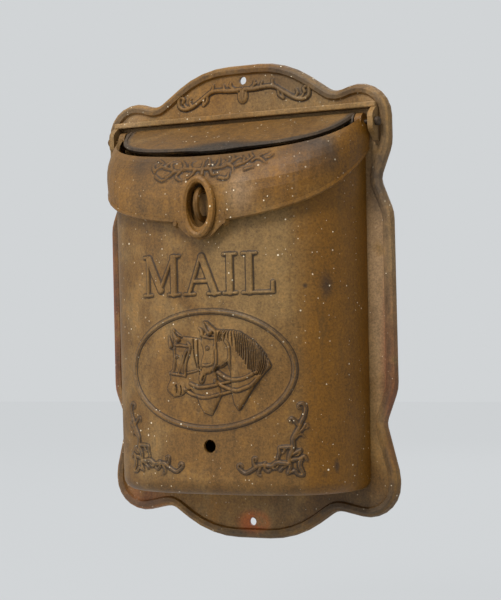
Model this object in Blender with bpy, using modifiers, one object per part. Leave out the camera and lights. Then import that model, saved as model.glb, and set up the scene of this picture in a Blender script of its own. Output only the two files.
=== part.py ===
# Cast iron wall mailbox: scalloped back plate, bow fronted box, visor lid and mail flap.
# Metres. The wall is the plane y = 0, the front looks towards -Y, and z = 0 lies midway
# between the two wall screw holes.

import math

import bmesh
import bpy
from mathutils import Matrix, Vector

# Box body, which sets the size of all the rest
body_half_width = 0.1078
body_taper = 0.008
body_depth = 0.078
body_floor = -0.1535
body_top_clearance = 0.0083
body_top_slope = 0.55
body_floor_radius = 0.010
bow_power = 2.9
finger_hole_diameter = 0.0105
finger_hole_rise = 0.0388
boss_radius = 0.0055
boss_length = 0.0160
boss_sink = 0.0022
upper_boss_drop = 0.0070
lower_boss_rise = 0.0255

# Lid
lid_top_overhang = 0.0027
lid_top_setback = 0.009
lid_bottom_overhang = 0.0050
lid_bottom_reach = 0.008
lid_drop = 0.0730
lid_top_gap = 0.0017
lid_side_slope = 0.68
lid_bulge = 0.0075
lid_side_bulge = 0.0025
lid_front_dip = 0.0040
lid_dip_half_width = 0.050
lid_finger_dip = 0.0012
lid_rear_step = 0.0033
lip_radius = 0.0023
lip_rise = 0.0012

# Hinge line and what turns on it
hinge_y = -0.0140
hinge_z = 0.1385
rod_diameter = 0.0036
rod_clearance = 0.0003
rod_head_diameter = 0.0070
rod_head_length = 0.0038
seat_gap = 0.0003
lug_clearance = 0.0009
lug_thickness = 0.0044
lug_radius = 0.0064
lug_drop = 0.0150
ear_stand = 0.0006
ear_thickness = 0.0057
ear_radius = 0.0072

# Mail flap
flap_slope = math.radians(27.2)
flap_cover = 0.00033
flap_rear_step = 0.0015
flap_setback = 0.007
flap_play = 0.0014
flap_power = 3.2
flap_bead_radius = 0.0021
thumb_lip = 0.0032
thumb_lip_half_width = 0.018
knuckle_play = 0.0012
knuckle_length = 0.0077
knuckle_radius = 0.0070

# Hasp ring on the lid, and the staple that it goes over
ring_rise = 0.0073
ring_half_width = 0.0150
ring_half_height = 0.0250
ring_bead_radius = 0.0030
ring_boss_thickness = 0.005
ring_stand = 0.0025
shield_half_width = 0.0215
shield_thickness = 0.003
shield_stud_radius = 0.0033
shield_stud_stand = 0.0016
window_half_width = 0.0094
window_half_height = 0.0174
window_rise = 0.0014
staple_bar = 0.0050
staple_rise = 0.0008
staple_reach = 0.0140
staple_half_height = 0.0115
staple_shank = 0.004
staple_grip = 0.0022
staple_foot_radius = 0.0036

# Back plate section
casting_wall = 0.003
plate_face = 0.005
plate_edge = 0.0022
rim_width = 0.0085
rim_crest = 0.0080
rim_steps = 4
wall_band = 0.0065
wall_hole_spacing = 0.365
wall_hole_diameter = 0.0066
ledge_over_hinge = 0.0117
ledge_height = 0.0046
ledge_reach = 0.0080
ledge_bevel = 0.0010

# Back plate outline, as corners that get round fillets
plate_margin = 0.0089
hole_to_top = 0.0130
hole_to_bottom = 0.0138
arch_half = 0.039
arch_radius = 0.080
arch_slope = math.radians(34.5)
arch_rise_top = 0.0295
arch_rise_bottom = 0.0253
valley_radius = 0.013
lobe_radius = 0.027
lobe_slope = math.radians(17.5)
lobe_slope_bottom = math.radians(12)
waist_depth = 0.0104
waist_radius = 0.012
waist_shoulder_radius = 0.030
waist_top = 0.094
waist_bottom = -0.1005
waist_reach = 0.027
lower_lobe_reach = 0.041

# Screws that hold the box to the plate
screw_diameter = 0.0040
screw_head_diameter = 0.0080
screw_length = 0.0160
screw_clearance = 0.0003
screw_slot_width = 0.0010
screw_slot_depth = 0.0009
screw_land = 0.0002
screw_tip = 0.0006

# Relief on the box front: an oval moulding round a pair of harnessed horses
oval_z = -0.0548
oval_half_width = 0.071
oval_half_height = 0.046
oval_bead_radius = 0.0021
rear_horse_height = 0.0011
front_horse_height = 0.0021
scroll_inset_side = 0.0328
scroll_inset_floor = 0.0185
plate_scroll_drop = 0.0080
relief_unit = 0.001

# How finely curved forms are divided
bow_columns = 36
skin_columns = 14
oval_steps = 36
lid_rows = 7
round_sides = 20
screw_sides = 14
arc_tolerance = 0.00025
cut_beyond = 0.002

iron_colour = (0.245, 0.135, 0.060, 1)
dark_iron_colour = (0.120, 0.085, 0.065, 1)
steel_colour = (0.200, 0.150, 0.110, 1)

# Places that follow from the sizes above
hinge_point = Vector((0, hinge_y, hinge_z))
body_front_top = (
    hinge_z - knuckle_radius - body_top_clearance - body_top_slope * (body_depth + hinge_y))
boss_upper_z = body_front_top + upper_boss_drop
boss_lower_z = body_floor + lower_boss_rise
finger_hole_z = body_floor + finger_hole_rise
lid_top_half_width = body_half_width + lid_top_overhang
lid_top_depth = body_depth - lid_top_setback
lid_bottom_half_width = body_half_width + lid_bottom_overhang
lid_bottom_depth = body_depth + lid_bottom_reach
lid_bottom_z = hinge_z - lid_drop
lid_rear_y = hinge_y + lid_rear_step
ear_outer_x = lid_top_half_width + ear_stand
ear_inner_x = ear_outer_x - ear_thickness
knuckle_outer_x = ear_inner_x - knuckle_play
knuckle_inner_x = knuckle_outer_x - knuckle_length
flap_half_width = ear_inner_x - flap_play
flap_front_y = flap_setback - lid_top_depth
flap_rear_y = hinge_y + flap_rear_step
lug_inner_x = lid_bottom_half_width + lid_side_bulge + lug_clearance
lug_outer_x = lug_inner_x + lug_thickness
ring_z = lid_bottom_z + ring_rise
ring_face_y = -lid_bottom_depth - ring_stand
ring_back_y = ring_face_y + ring_boss_thickness
window_z = ring_z + window_rise
staple_z = window_z + staple_rise
ledge_bottom = hinge_z + ledge_over_hinge
plate_half_width = lug_outer_x + plate_margin
plate_top = wall_hole_spacing / 2 + hole_to_top
plate_bottom = -wall_hole_spacing / 2 - hole_to_bottom
valley_top = plate_top - arch_rise_top
valley_bottom = plate_bottom + arch_rise_bottom
plate_scroll_z = wall_hole_spacing / 2 - plate_scroll_drop

# Raised lines of the scrollwork: thickness at each end, then points in millimetres. The
# lower corner scroll is measured from its own corner, towards the middle and up.
corner_scroll = [
    (1.4, 0.8, [(-8, 16), (-6.6, 24), (-2.3, 34.8), (1.6, 43.5), (2.5, 49.5), (0.6, 53), (-2, 51.6)]),
    (1.1, 0.7, [(-4.6, 30.5), (-1.2, 32.3), (2.4, 37.2), (3.8, 35.2)]),
    (1.1, 0.7, [(-2, 36.6), (-5.2, 39.9), (-7.6, 42.2)]),
    (1.2, 0.8, [(-7, 19.8), (-14.5, 19.8), (-17.4, 17.6), (-17.6, 11.4)]),
    (1.5, 1.1, [(-8, 16), (-9.9, 8.8), (-9.2, 4.6), (-10.9, 0)]),
    (1.3, 0.8, [(-9.9, 9.6), (-5.1, 10.4), (0.7, 12.8), (2.7, 9.6)]),
    (1.3, 0.9, [(-2.2, 10.6), (-2.5, 5.7), (-0.8, -1), (-5.2, -0.8), (-9.6, 1.8)]),
    (1.5, 0.8, [(-9.9, 7.1), (-18.9, 8), (-23.2, 5.7), (-32.8, 5.9), (-40.1, 1.6), (-45, -0.2),
                (-50.2, 3.2), (-48.4, 6.6), (-46.2, 4.6)]),
    (1.1, 0.7, [(-35.9, 4.6), (-38, 8.2), (-37, 12)]),
    (1.1, 0.7, [(-28.6, 6.2), (-28.3, 2.2), (-24.4, 1)]),
]
# The scroll under the upper wall hole, from the middle of the plate
plate_scroll = [
    (1.3, 1.0, [(2.7, 0.6), (16, 0.8), (29.6, 0.2), (40.7, -6.6), (47.2, -10.4), (54, -12.2), (59.3, -9.6),
                (60.4, -4.6), (57.6, -1.6), (55.4, -4.4)]),
    (1.0, 0.6, [(3.4, -1), (7.9, 0.8), (10.6, 3.8), (11.1, 6.6)]),
    (1.1, 0.7, [(29.6, 0.2), (27.6, 3), (28.2, 6.6)]),
    (1.1, 0.7, [(33, -2.2), (33.4, -6.8), (37, -9.8)]),
    (1.0, 0.6, [(47.2, -10.4), (49.9, -6.8), (48.6, -3.6)]),
]
plate_scroll_drops = [(0, -4.6, 4.4, 6.4, 1.7, 0)]
# The scroll on top of the lid: across in millimetres, and down the lid as a share
lid_scroll = [
    (0.9, 0.6, [(0, 0.34), (-10, 0.32), (-20, 0.35), (-28, 0.31), (-37, 0.26), (-43, 0.34)]),
    (0.9, 0.6, [(0, 0.33), (12, 0.33), (19, 0.31), (27, 0.22), (32, 0.14)]),
    (0.9, 0.5, [(30, 0.32), (37, 0.28), (41.5, 0.21), (39, 0.10)]),
    (0.8, 0.5, [(44, 0.26), (49, 0.18), (54, 0.13)]),
    (0.8, 0.5, [(-19, 0.36), (-21.5, 0.43), (-17, 0.48)]),
    (0.8, 0.5, [(17, 0.48), (24, 0.49), (25, 0.42)]),
    (0.9, 0.6, [(1, 0.4), (0.5, 0.28), (0, 0.17)]),
]
# The pair of horses, in millimetres from the middle of the oval: outlines, then raised lines
rear_horse = [
    (-30, 32), (-22, 26.4), (-12, 25.3), (4, 22), (8, -6), (12, -20), (6, -31), (3, -36), (-4, -33.6),
    (-10, -20.5), (-15.6, -15), (-20.4, -17.6), (-27, -21), (-32, -20.6), (-37.4, -15), (-34, -7.6),
    (-34, -2), (-31, 6), (-30.6, 13.4), (-29.6, 21),
]
front_horse = [
    (-2.8, 37.8), (1, 37.6), (8.3, 31.4), (17, 31.2), (29.8, 28.9), (40.5, 22), (48, 13.4), (53.3, 2),
    (45, -6.6), (36, -18.4), (28, -30.6), (25.8, -31.6), (22.4, -25), (20.6, -3), (17.5, 5.6),
    (9.9, 2), (3.1, -3.4), (-1.6, -8.8), (-4.4, -11.8), (-7.8, -8.4), (-5, 2), (-4.4, 9), (-3, 15),
    (-5, 21.2), (-2, 30),
]
rear_lines = [
    (2.0, 0.8, [(-25.6, 24.6), (-30.2, 32)]),
    (1.6, 0.7, [(-32.6, 18.8), (-34.8, 27)]),
    (0.9, 0.9, [(-16, 21.6), (-15.6, 14), (-18.8, 5), (-19.5, -5)]),
    (0.8, 0.8, [(-34, -2.4), (-26, -3.6), (-19.5, -4.6)]),
    (0.8, 0.8, [(-28.8, 20), (-22, 19.6), (-16, 18.6)]),
    (1.0, 0.7, [(-28.6, 15), (-25, 4), (-28, -8)]),
    (0.9, 0.9, [(-15, -10.8), (-7.3, -13.6), (8, -11.6)]),
    (0.9, 0.9, [(-20.6, -15), (-10, -20.2), (0, -21.8), (13, -19)]),
]
front_lines = [
    (2.2, 0.8, [(3.6, 29.4), (-2.2, 37.6)]),
    (0.9, 0.9, [(8.4, 25), (9, 10), (5.6, -0.6)]),
    (0.8, 0.8, [(-4.8, 1.6), (3.6, 1.4)]),
    (0.8, 0.8, [(-2, 25.6), (3.9, 25), (8.6, 24.4)]),
    (1.3, 1.0, [(15.4, 27), (19.6, 19.4), (20.6, 6), (21, -10), (23.6, -24)]),
    (0.9, 0.9, [(21, -7.6), (30, -7.2), (42, -2)]),
    (0.9, 0.9, [(21, -15.6), (31, -14.6), (40, -9.8)]),
    (1.2, 0.6, [(24.4, 28), (26.6, 20), (26.6, 12)]),
    (1.2, 0.6, [(30.4, 26), (32.4, 16), (32, 6)]),
    (1.2, 0.6, [(36.4, 22.6), (38, 12), (38, 1)]),
    (1.2, 0.6, [(41.6, 19), (42.8, 9), (41, -1)]),
    (1.2, 0.6, [(46.8, 12.4), (46.4, 5), (44, -3)]),
]
# Rounded masses on the horses: across, up, half sizes, rise and lean
rear_domes = [(-23.4, 8, 4.4, 11, 0.9, -18), (-30, -14.4, 5.6, 5.2, 0.9, 0), (-26.5, 10.8, 1.3, 1.3, 1.4, 0)]
front_domes = [(3.9, 11.6, 4.4, 9.2, 1.0, 0), (-4.8, -5.3, 2.4, 4.6, 0.8, -14), (1.8, 17.3, 1.3, 1.3, 1.6, 0)]


def clear_scene():
    for old in list(bpy.data.objects):
        bpy.data.objects.remove(old, do_unlink=True)


def make_collection(name):
    collection = bpy.data.collections.new(name)
    bpy.context.scene.collection.children.link(collection)
    return collection


def make_material(name, colour, roughness, metallic):
    material = bpy.data.materials.new(name)
    material.use_nodes = True
    shader = material.node_tree.nodes["Principled BSDF"]
    shader.inputs["Base Color"].default_value = colour
    shader.inputs["Roughness"].default_value = roughness
    shader.inputs["Metallic"].default_value = metallic
    material.diffuse_color = colour
    return material


# Objects, joins and cuts

def add_object(name, bm, collection):
    mesh = bpy.data.meshes.new(name)
    bm.to_mesh(mesh)
    bm.free()
    obj = bpy.data.objects.new(name, mesh)
    collection.objects.link(obj)
    return obj


def finish_part(obj, material, origin=None):
    obj.data.materials.append(material)
    obj.data.shade_smooth()
    obj.data.set_sharp_from_angle(angle=math.radians(40))
    if origin is not None:
        obj.data.transform(Matrix.Translation(-origin))
        obj.location = origin


def as_helper(obj):
    obj.hide_render = True
    obj.display_type = "WIRE"
    return obj


def combine(target, other, operation):
    modifier = target.modifiers.new(f"{operation.lower()} {other.name}", "BOOLEAN")
    modifier.operation = operation
    modifier.solver = "EXACT"
    modifier.object = as_helper(other)


def solidify(obj, thickness):
    modifier = obj.modifiers.new("wall", "SOLIDIFY")
    modifier.thickness = thickness
    modifier.offset = -1
    modifier.use_even_offset = True


def mesh_from_curve(curve_object, collection):
    depsgraph = bpy.context.evaluated_depsgraph_get()
    mesh = bpy.data.meshes.new_from_object(curve_object.evaluated_get(depsgraph))
    bm = bmesh.new()
    bm.from_mesh(mesh)
    bmesh.ops.remove_doubles(bm, verts=bm.verts, dist=0.00001)
    bm.transform(curve_object.matrix_world)
    name = curve_object.name
    bpy.data.objects.remove(curve_object, do_unlink=True)
    return add_object(name, bm, collection)


# Basic solids

def cylinder(name, radius, start, end, collection, sides=round_sides, end_radius=None):
    start = Vector(start)
    end = Vector(end)
    bm = bmesh.new()
    bmesh.ops.create_cone(
        bm, cap_ends=True, segments=sides, radius1=radius,
        radius2=radius if end_radius is None else end_radius, depth=(end - start).length)
    turn = (end - start).to_track_quat("Z", "Y").to_matrix().to_4x4()
    bm.transform(Matrix.Translation((start + end) / 2) @ turn)
    return add_object(name, bm, collection)


def oval_cylinder(name, half_width, half_height, centre_z, back_y, front_y, collection, sides=32):
    bm = bmesh.new()
    bmesh.ops.create_cone(
        bm, cap_ends=True, segments=sides, radius1=1, radius2=1, depth=abs(front_y - back_y))
    bm.transform(Matrix.Rotation(math.pi / 2, 4, "X"))
    bm.transform(Matrix.Diagonal((half_width, 1, half_height, 1)))
    bm.transform(Matrix.Translation((0, (back_y + front_y) / 2, centre_z)))
    return add_object(name, bm, collection)


def box(name, low, high, collection):
    low = Vector(low)
    high = Vector(high)
    bm = bmesh.new()
    bmesh.ops.create_cube(bm, size=1)
    bm.transform(Matrix.Translation((low + high) / 2) @ Matrix.Diagonal((*(high - low), 1)))
    return add_object(name, bm, collection)


def turned(name, profile, axis_point, axis, collection, sides=round_sides):
    # The profile is (radius, distance along the axis), from the near end on the axis to the far one
    bm = bmesh.new()
    points = [bm.verts.new((radius, 0, along)) for radius, along in reversed(profile)]
    for a, b in zip(points, points[1:]):
        bm.edges.new((a, b))
    obj = add_object(name, bm, collection)
    obj.location = axis_point
    obj.rotation_euler = Vector(axis).to_track_quat("Z", "Y").to_euler()
    screw = obj.modifiers.new("turn", "SCREW")
    screw.steps = sides
    screw.render_steps = sides
    screw.use_merge_vertices = True
    screw.merge_threshold = 0.00001
    return obj


def swept_bar(name, points, radius, collection, closed=False, sides_level=3, taper=1):
    curve = bpy.data.curves.new(name, "CURVE")
    curve.dimensions = "3D"
    curve.bevel_depth = radius
    curve.bevel_resolution = sides_level
    curve.use_fill_caps = not closed
    spline = curve.splines.new("POLY")
    spline.points.add(len(points) - 1)
    for step, (spot, point) in enumerate(zip(spline.points, points)):
        spot.co = (*point, 1)
        spot.radius = 1 + (taper - 1) * step / (len(points) - 1)
    spline.use_cyclic_u = closed
    obj = bpy.data.objects.new(name, curve)
    collection.objects.link(obj)
    bpy.context.view_layer.update()
    return mesh_from_curve(obj, collection)


def filled_outline(name, points, thickness, placement, collection):
    # A flat closed outline in its own XY plane, thickened both ways, then placed
    curve = bpy.data.curves.new(name, "CURVE")
    curve.dimensions = "2D"
    curve.fill_mode = "BOTH"
    curve.extrude = thickness / 2
    spline = curve.splines.new("POLY")
    spline.points.add(len(points) - 1)
    for spot, (u, v) in zip(spline.points, points):
        spot.co = (u, v, 0, 1)
    spline.use_cyclic_u = True
    obj = bpy.data.objects.new(name, curve)
    obj.matrix_world = placement
    collection.objects.link(obj)
    bpy.context.view_layer.update()
    return mesh_from_curve(obj, collection)


# Forms shared by several pieces

def fillet_outline(corners):
    # corners are (u, v, radius); each is replaced by an arc tangent to both its sides
    outline = []
    count = len(corners)
    for i, (u, v, radius) in enumerate(corners):
        here = Vector((u, v))
        before = (Vector(corners[i - 1][:2]) - here).normalized()
        after = (Vector(corners[(i + 1) % count][:2]) - here).normalized()
        half = before.angle(after) / 2
        setback = radius / math.tan(half)
        middle = here + (before + after).normalized() * (radius / math.sin(half))
        start = here + before * setback - middle
        sweep = start.angle_signed(here + after * setback - middle)
        chord_angle = 2 * math.acos(1 - arc_tolerance / max(radius, 2 * arc_tolerance))
        steps = max(1, math.ceil(abs(sweep) / chord_angle))
        for step in range(steps + 1):
            turn = Matrix.Rotation(-sweep * step / steps, 2)
            outline.append(middle + turn @ start)
    return outline


def bow_at_angle(half_width, depth, angle, power):
    side = math.cos(angle)
    x = half_width * math.copysign(abs(side) ** (2 / power), side)
    y = -depth * math.sin(angle) ** (2 / power)
    return x, y


def even_shares(columns):
    # Shares of the half turn that space the box body's plan out evenly
    fine = 1500
    walk = [Vector(bow_at_angle(body_half_width, body_depth, math.pi * step / fine, bow_power))
            for step in range(fine + 1)]
    reach = [0]
    for a, b in zip(walk, walk[1:]):
        reach.append(reach[-1] + (b - a).length)
    shares = []
    step = 0
    for column in range(columns + 1):
        while step < fine and reach[step] < reach[-1] * column / columns:
            step += 1
        shares.append(step / fine)
    return shares


def bow_point(half_width, depth, across, rear_y, power=bow_power):
    # across 0 is the right rear end and 1 the left rear end of a bow fronted plan
    share = bow_shares[round(across * bow_columns)]
    first = math.asin((-rear_y / depth) ** (power / 2))
    return bow_at_angle(half_width, depth, first + (math.pi - 2 * first) * share, power)


def mapped_grid(name, place, columns, rows, collection):
    # A grid whose corner (across, down) runs from 0 to 1 both ways, bent by place()
    bm = bmesh.new()
    bmesh.ops.create_grid(bm, x_segments=columns, y_segments=rows, size=0.5)
    for vert in bm.verts:
        vert.co = place(vert.co.x + 0.5, vert.co.y + 0.5)
    return add_object(name, bm, collection)


def bow_depth_at(x, half_width, depth):
    return -depth * (1 - (abs(x) / half_width) ** bow_power) ** (1 / bow_power)


def flap_top_z(y):
    return hinge_z + knuckle_radius + flap_cover + (y - hinge_y) * math.tan(flap_slope)


# Relief, each form half sunk in the surface that carries it

def unite(target, forms):
    # The small forms are joined to one another first
    first, *others = forms
    for other in others:
        combine(first, other, "UNION")
    combine(target, first, "UNION")


def raised_lines(name, lines, surface, helpers, lift=0):
    # surface(u, v, lift) gives the place of a relief point
    bars = []
    for number, (thick, thin, points) in enumerate(lines):
        bars.append(swept_bar(
            f"{name}_{number}", [surface(u, v, lift) for u, v in points], thick * relief_unit,
            helpers, sides_level=1, taper=thin / thick))
    return bars


def raised_domes(name, domes, surface, helpers, lift=0):
    made = []
    for number, (u, v, half_width, half_height, rise, lean) in enumerate(domes):
        bm = bmesh.new()
        bmesh.ops.create_uvsphere(bm, u_segments=10, v_segments=4, radius=relief_unit)
        bm.transform(Matrix.Rotation(math.pi / 2, 4, "X"))
        bm.transform(Matrix.Diagonal((half_width, rise, half_height, 1)))
        bm.transform(Matrix.Rotation(math.radians(lean), 4, "Y"))
        bm.transform(Matrix.Translation(surface(u, v, lift)))
        made.append(add_object(f"{name}_dome_{number}", bm, helpers))
    return made


# Back plate

def plate_corners():
    half = plate_half_width
    valley_top_x = arch_half + (plate_top - valley_top) / math.tan(arch_slope)
    valley_low_x = arch_half + (valley_bottom - plate_bottom) / math.tan(arch_slope)
    right = [
        (arch_half, plate_top, arch_radius),
        (valley_top_x, valley_top, valley_radius),
        (half, valley_top + (half - valley_top_x) * math.tan(lobe_slope), lobe_radius),
        (half, waist_top + waist_reach, waist_shoulder_radius),
        (half - waist_depth, waist_top, waist_radius),
        (half, waist_top - waist_reach, waist_shoulder_radius),
        (half, waist_bottom + waist_reach, waist_shoulder_radius),
        (half - waist_depth, waist_bottom, waist_radius),
        (half, waist_bottom - lower_lobe_reach, waist_shoulder_radius),
        (half, valley_bottom - (half - valley_low_x) * math.tan(lobe_slope_bottom), lobe_radius),
        (valley_low_x, valley_bottom, valley_radius),
        (arch_half, plate_bottom, arch_radius),
    ]
    left = [(-x, z, radius) for x, z, radius in reversed(right)]
    return right + left


def make_back_plate(parts, helpers):
    bm = bmesh.new()
    ring = [bm.verts.new((point.x, 0, point.y)) for point in fillet_outline(plate_corners())]
    back = bm.faces.new(ring)
    back.normal_update()
    if back.normal.y < 0:
        back.normal_flip()
    # The edge stands straight, then the rim rises and falls as a half round moulding
    sides = bmesh.ops.extrude_face_region(bm, geom=[back], use_keep_orig=True)
    front = next(item for item in sides["geom"] if isinstance(item, bmesh.types.BMFace))
    for vert in front.verts:
        vert.co.y = -plate_edge
    front.normal_flip()
    height = plate_edge
    for step in range(1, rim_steps + 1):
        share = step / rim_steps
        base = plate_edge + (plate_face - plate_edge) * share
        swell = (rim_crest - (plate_edge + plate_face) / 2) * math.sin(math.pi * share)
        width = rim_width * (math.cos(math.pi * (step - 1) / rim_steps) - math.cos(math.pi * share)) / 2
        bmesh.ops.inset_region(
            bm, faces=[front], thickness=width, depth=base + swell - height,
            use_even_offset=True, use_boundary=True)
        height = base + swell
    bmesh.ops.recalc_face_normals(bm, faces=bm.faces)
    # Behind, the casting is hollowed to an even wall and stands on a band along its edge
    bmesh.ops.inset_region(
        bm, faces=[back], thickness=wall_band, use_even_offset=True, use_boundary=True)
    recess = plate_face - casting_wall
    bmesh.ops.inset_region(
        bm, faces=[back], thickness=recess, depth=-recess, use_even_offset=True, use_boundary=True)
    plate = add_object("back_plate", bm, parts)

    root_y = -(recess + plate_face) / 2
    ledge_half_width = lug_outer_x - ledge_bevel / 2
    ledge = box(
        "ledge", (-ledge_half_width, -plate_face - ledge_reach, ledge_bottom),
        (ledge_half_width, root_y, ledge_bottom + ledge_height), helpers)
    bevel = ledge.modifiers.new("soft edges", "BEVEL")
    bevel.width = ledge_bevel
    bevel.segments = 2
    combine(plate, ledge, "UNION")
    for side in (1, -1):
        combine(plate, make_lug(side, root_y, helpers), "UNION")

    for side in (1, -1):
        def on_plate(u, v, lift, side=side):
            return Vector((
                side * u * relief_unit, -plate_face - lift, plate_scroll_z + v * relief_unit))
        unite(plate, raised_lines(f"plate_scroll_{side}", plate_scroll, on_plate, helpers))
    unite(plate, raised_domes("plate_scroll", plate_scroll_drops, on_plate, helpers))

    front_y = -plate_face - cut_beyond
    for z in (wall_hole_spacing / 2, -wall_hole_spacing / 2):
        hole = cylinder(
            "wall_hole", wall_hole_diameter / 2, (0, cut_beyond, z), (0, front_y, z), helpers)
        combine(plate, hole, "DIFFERENCE")
    bore = rod_diameter / 2 + rod_clearance
    reach = lug_outer_x + cut_beyond
    combine(plate, cylinder(
        "lug_bore", bore, (-reach, hinge_y, hinge_z), (reach, hinge_y, hinge_z), helpers), "DIFFERENCE")
    for name, x, z in screw_places():
        combine(plate, cylinder(
            f"plate_hole_{name}", screw_diameter / 2 + screw_clearance,
            (x, cut_beyond, z), (x, front_y, z), helpers), "DIFFERENCE")
        head = screw_head_diameter / 2 + screw_clearance
        cone = (screw_head_diameter - screw_diameter) / 2
        above = screw_land + screw_clearance
        combine(plate, cylinder(
            f"countersink_{name}", head + above, (x, -recess + above, z), (x, -recess - cone, z),
            helpers, end_radius=head - cone), "DIFFERENCE")
    return plate


def make_lug(side, root_y, helpers):
    # Seen from the side: round about the rod, with a straight back sunk in the plate
    length = -hinge_y - plate_face
    corners = [
        (root_y, ledge_bottom + 0.001, 0.0005),
        (root_y, hinge_z - lug_drop, 0.0005),
        (-plate_face - length * 0.4, hinge_z - lug_drop, 0.003),
        (hinge_y - lug_radius, hinge_z - lug_radius, 0.005),
        (hinge_y - lug_radius, hinge_z + lug_radius, 0.005),
        (-plate_face - ledge_reach + 0.002, ledge_bottom + 0.001, 0.001),
    ]
    centre_x = side * (lug_inner_x + lug_thickness / 2)
    placement = Matrix(((0, 0, 1, centre_x), (1, 0, 0, 0), (0, 1, 0, 0), (0, 0, 0, 1)))
    name = "lug_right" if side > 0 else "lug_left"
    return filled_outline(name, fillet_outline(corners), lug_thickness, placement, helpers)


# Box body

def body_width_at(z):
    return body_half_width - body_taper * (body_front_top - z)


def screw_places():
    places = []
    for level, z in (("upper", boss_upper_z), ("lower", boss_lower_z)):
        x = body_width_at(z) - casting_wall - boss_radius + boss_sink
        places.append((f"{level}_right", x, z))
        places.append((f"{level}_left", -x, z))
    return places


def make_box_body(parts, helpers):
    rear_y = -plate_face - seat_gap
    floor_rows = 4
    wall_rows = 3
    rows = wall_rows + floor_rows

    def place(across, down):
        row = round(down * rows)
        tuck = 0
        if row <= wall_rows:
            x, y = bow_point(1, body_depth, across, rear_y)
            top = body_front_top + (body_depth + y) * body_top_slope
            z = top + (body_floor + body_floor_radius - top) * row / wall_rows
        else:
            lean = math.pi / 2 * (row - wall_rows) / floor_rows
            tuck = body_floor_radius * (1 - math.cos(lean))
            z = body_floor + body_floor_radius * (1 - math.sin(lean))
        x, y = bow_point(body_width_at(z) - tuck, body_depth - tuck, across, rear_y)
        return x, y, z

    body = mapped_grid("box_body", place, bow_columns, rows, parts)
    bm = bmesh.new()
    bm.from_mesh(body.data)
    floor_rim = [vert for vert in bm.verts if vert.co.z < body_floor + 0.00001]
    floor_rim.sort(key=lambda vert: vert.co.x)
    bm.faces.new(floor_rim)
    bmesh.ops.recalc_face_normals(bm, faces=bm.faces)
    bm.to_mesh(body.data)
    bm.free()
    solidify(body, casting_wall)

    for name, x, z in screw_places():
        combine(body, cylinder(
            f"boss_{name}", boss_radius, (x, rear_y, z), (x, rear_y - boss_length, z), helpers), "UNION")
    for name, x, z in screw_places():
        combine(body, cylinder(
            f"boss_hole_{name}", screw_diameter / 2 + screw_clearance,
            (x, 0, z), (x, -plate_face + casting_wall - screw_length - seat_gap, z), helpers), "DIFFERENCE")
    inside_y = -body_depth + casting_wall + cut_beyond
    outside_y = -body_depth - cut_beyond
    combine(body, cylinder(
        "finger_hole", finger_hole_diameter / 2, (0, inside_y, finger_hole_z),
        (0, outside_y, finger_hole_z), helpers), "DIFFERENCE")
    for side in (1, -1):
        z = staple_z + side * staple_half_height
        combine(body, cylinder(
            "staple_hole", staple_bar / 2 + seat_gap, (0, inside_y, z), (0, outside_y, z), helpers),
            "DIFFERENCE")
    add_body_relief(body, helpers)
    return body


def on_body(x, z, lift=0):
    # The point of the bowed front that lies at x, z, moved out of the surface by lift
    return Vector((x, bow_depth_at(x, body_width_at(z), body_depth) - lift, z))


def in_oval(u, v, lift=0):
    return on_body(u * relief_unit, oval_z + v * relief_unit, lift)


def raised_field(name, outline, height, helpers):
    # What an outline cuts out of a skin that stands off the bowed front by height
    middle_y = -body_depth / 2
    placement = Matrix(((1, 0, 0, 0), (0, 0, -1, middle_y), (0, 1, 0, oval_z), (0, 0, 0, 1)))
    points = [(u * relief_unit, v * relief_unit) for u, v in outline]
    field = filled_outline(name, points, 2 * body_depth, placement, helpers)
    skin = mapped_grid(f"{name}_skin", lambda across, down: on_body(
        (1 - 2 * across) * oval_half_width, oval_z + (1 - 2 * down) * oval_half_height, height),
        skin_columns, 1, helpers)
    solidify(skin, height + casting_wall / 2)
    combine(field, skin, "INTERSECT")
    return field


def add_body_relief(body, helpers):
    oval_line = []
    for step in range(oval_steps):
        angle = 2 * math.pi * step / oval_steps
        oval_line.append(on_body(
            oval_half_width * math.cos(angle), oval_z + oval_half_height * math.sin(angle)))
    combine(body, swept_bar(
        "oval_moulding", oval_line, oval_bead_radius, helpers, closed=True, sides_level=1), "UNION")
    for side in (1, -1):
        def on_corner(u, v, lift, side=side):
            x = body_half_width - scroll_inset_side + u * relief_unit
            return on_body(side * x, body_floor + scroll_inset_floor + v * relief_unit, lift)
        unite(body, raised_lines(f"corner_scroll_{side}", corner_scroll, on_corner, helpers))
    for name, outline, height, lines, domes in (
            ("rear_horse", rear_horse, rear_horse_height, rear_lines, rear_domes),
            ("front_horse", front_horse, front_horse_height, front_lines, front_domes)):
        field = raised_field(name, outline, height, helpers)
        bars = raised_lines(name, lines, in_oval, helpers, height)
        unite(body, [field] + bars + raised_domes(name, domes, in_oval, helpers, height))


# Lid

def lid_plan(down, lift=0):
    # Half width and depth of the bow at a share of the way down the lid
    swell = math.sin(math.pi * down)
    half_width = lid_top_half_width + (lid_bottom_half_width - lid_top_half_width) * down
    half_width += lid_side_bulge * swell + lift
    depth = lid_top_depth + (lid_bottom_depth - lid_top_depth) * down + lid_bulge * swell + lift
    return half_width, depth


def lid_height(x, y, down, depth):
    top_z = flap_top_z(-lid_top_depth) - lid_top_gap
    front_z = top_z + (lid_bottom_z - top_z) * down ** 1.25
    rear_top_z = flap_top_z(lid_rear_y) - lid_top_gap
    rear_bottom_z = lid_bottom_z + lid_side_slope * (lid_bottom_depth + lid_rear_y)
    rear_z = rear_top_z + (rear_bottom_z - rear_top_z) * down
    z = front_z + (rear_z - front_z) * (depth + y) / (depth + lid_rear_y)
    z -= lid_front_dip * down ** 2 * math.exp(-(x / lid_dip_half_width) ** 2)
    z -= lid_finger_dip * (1 - down) ** 3 * math.exp(-(x / (2 * thumb_lip_half_width)) ** 4)
    return z


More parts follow.
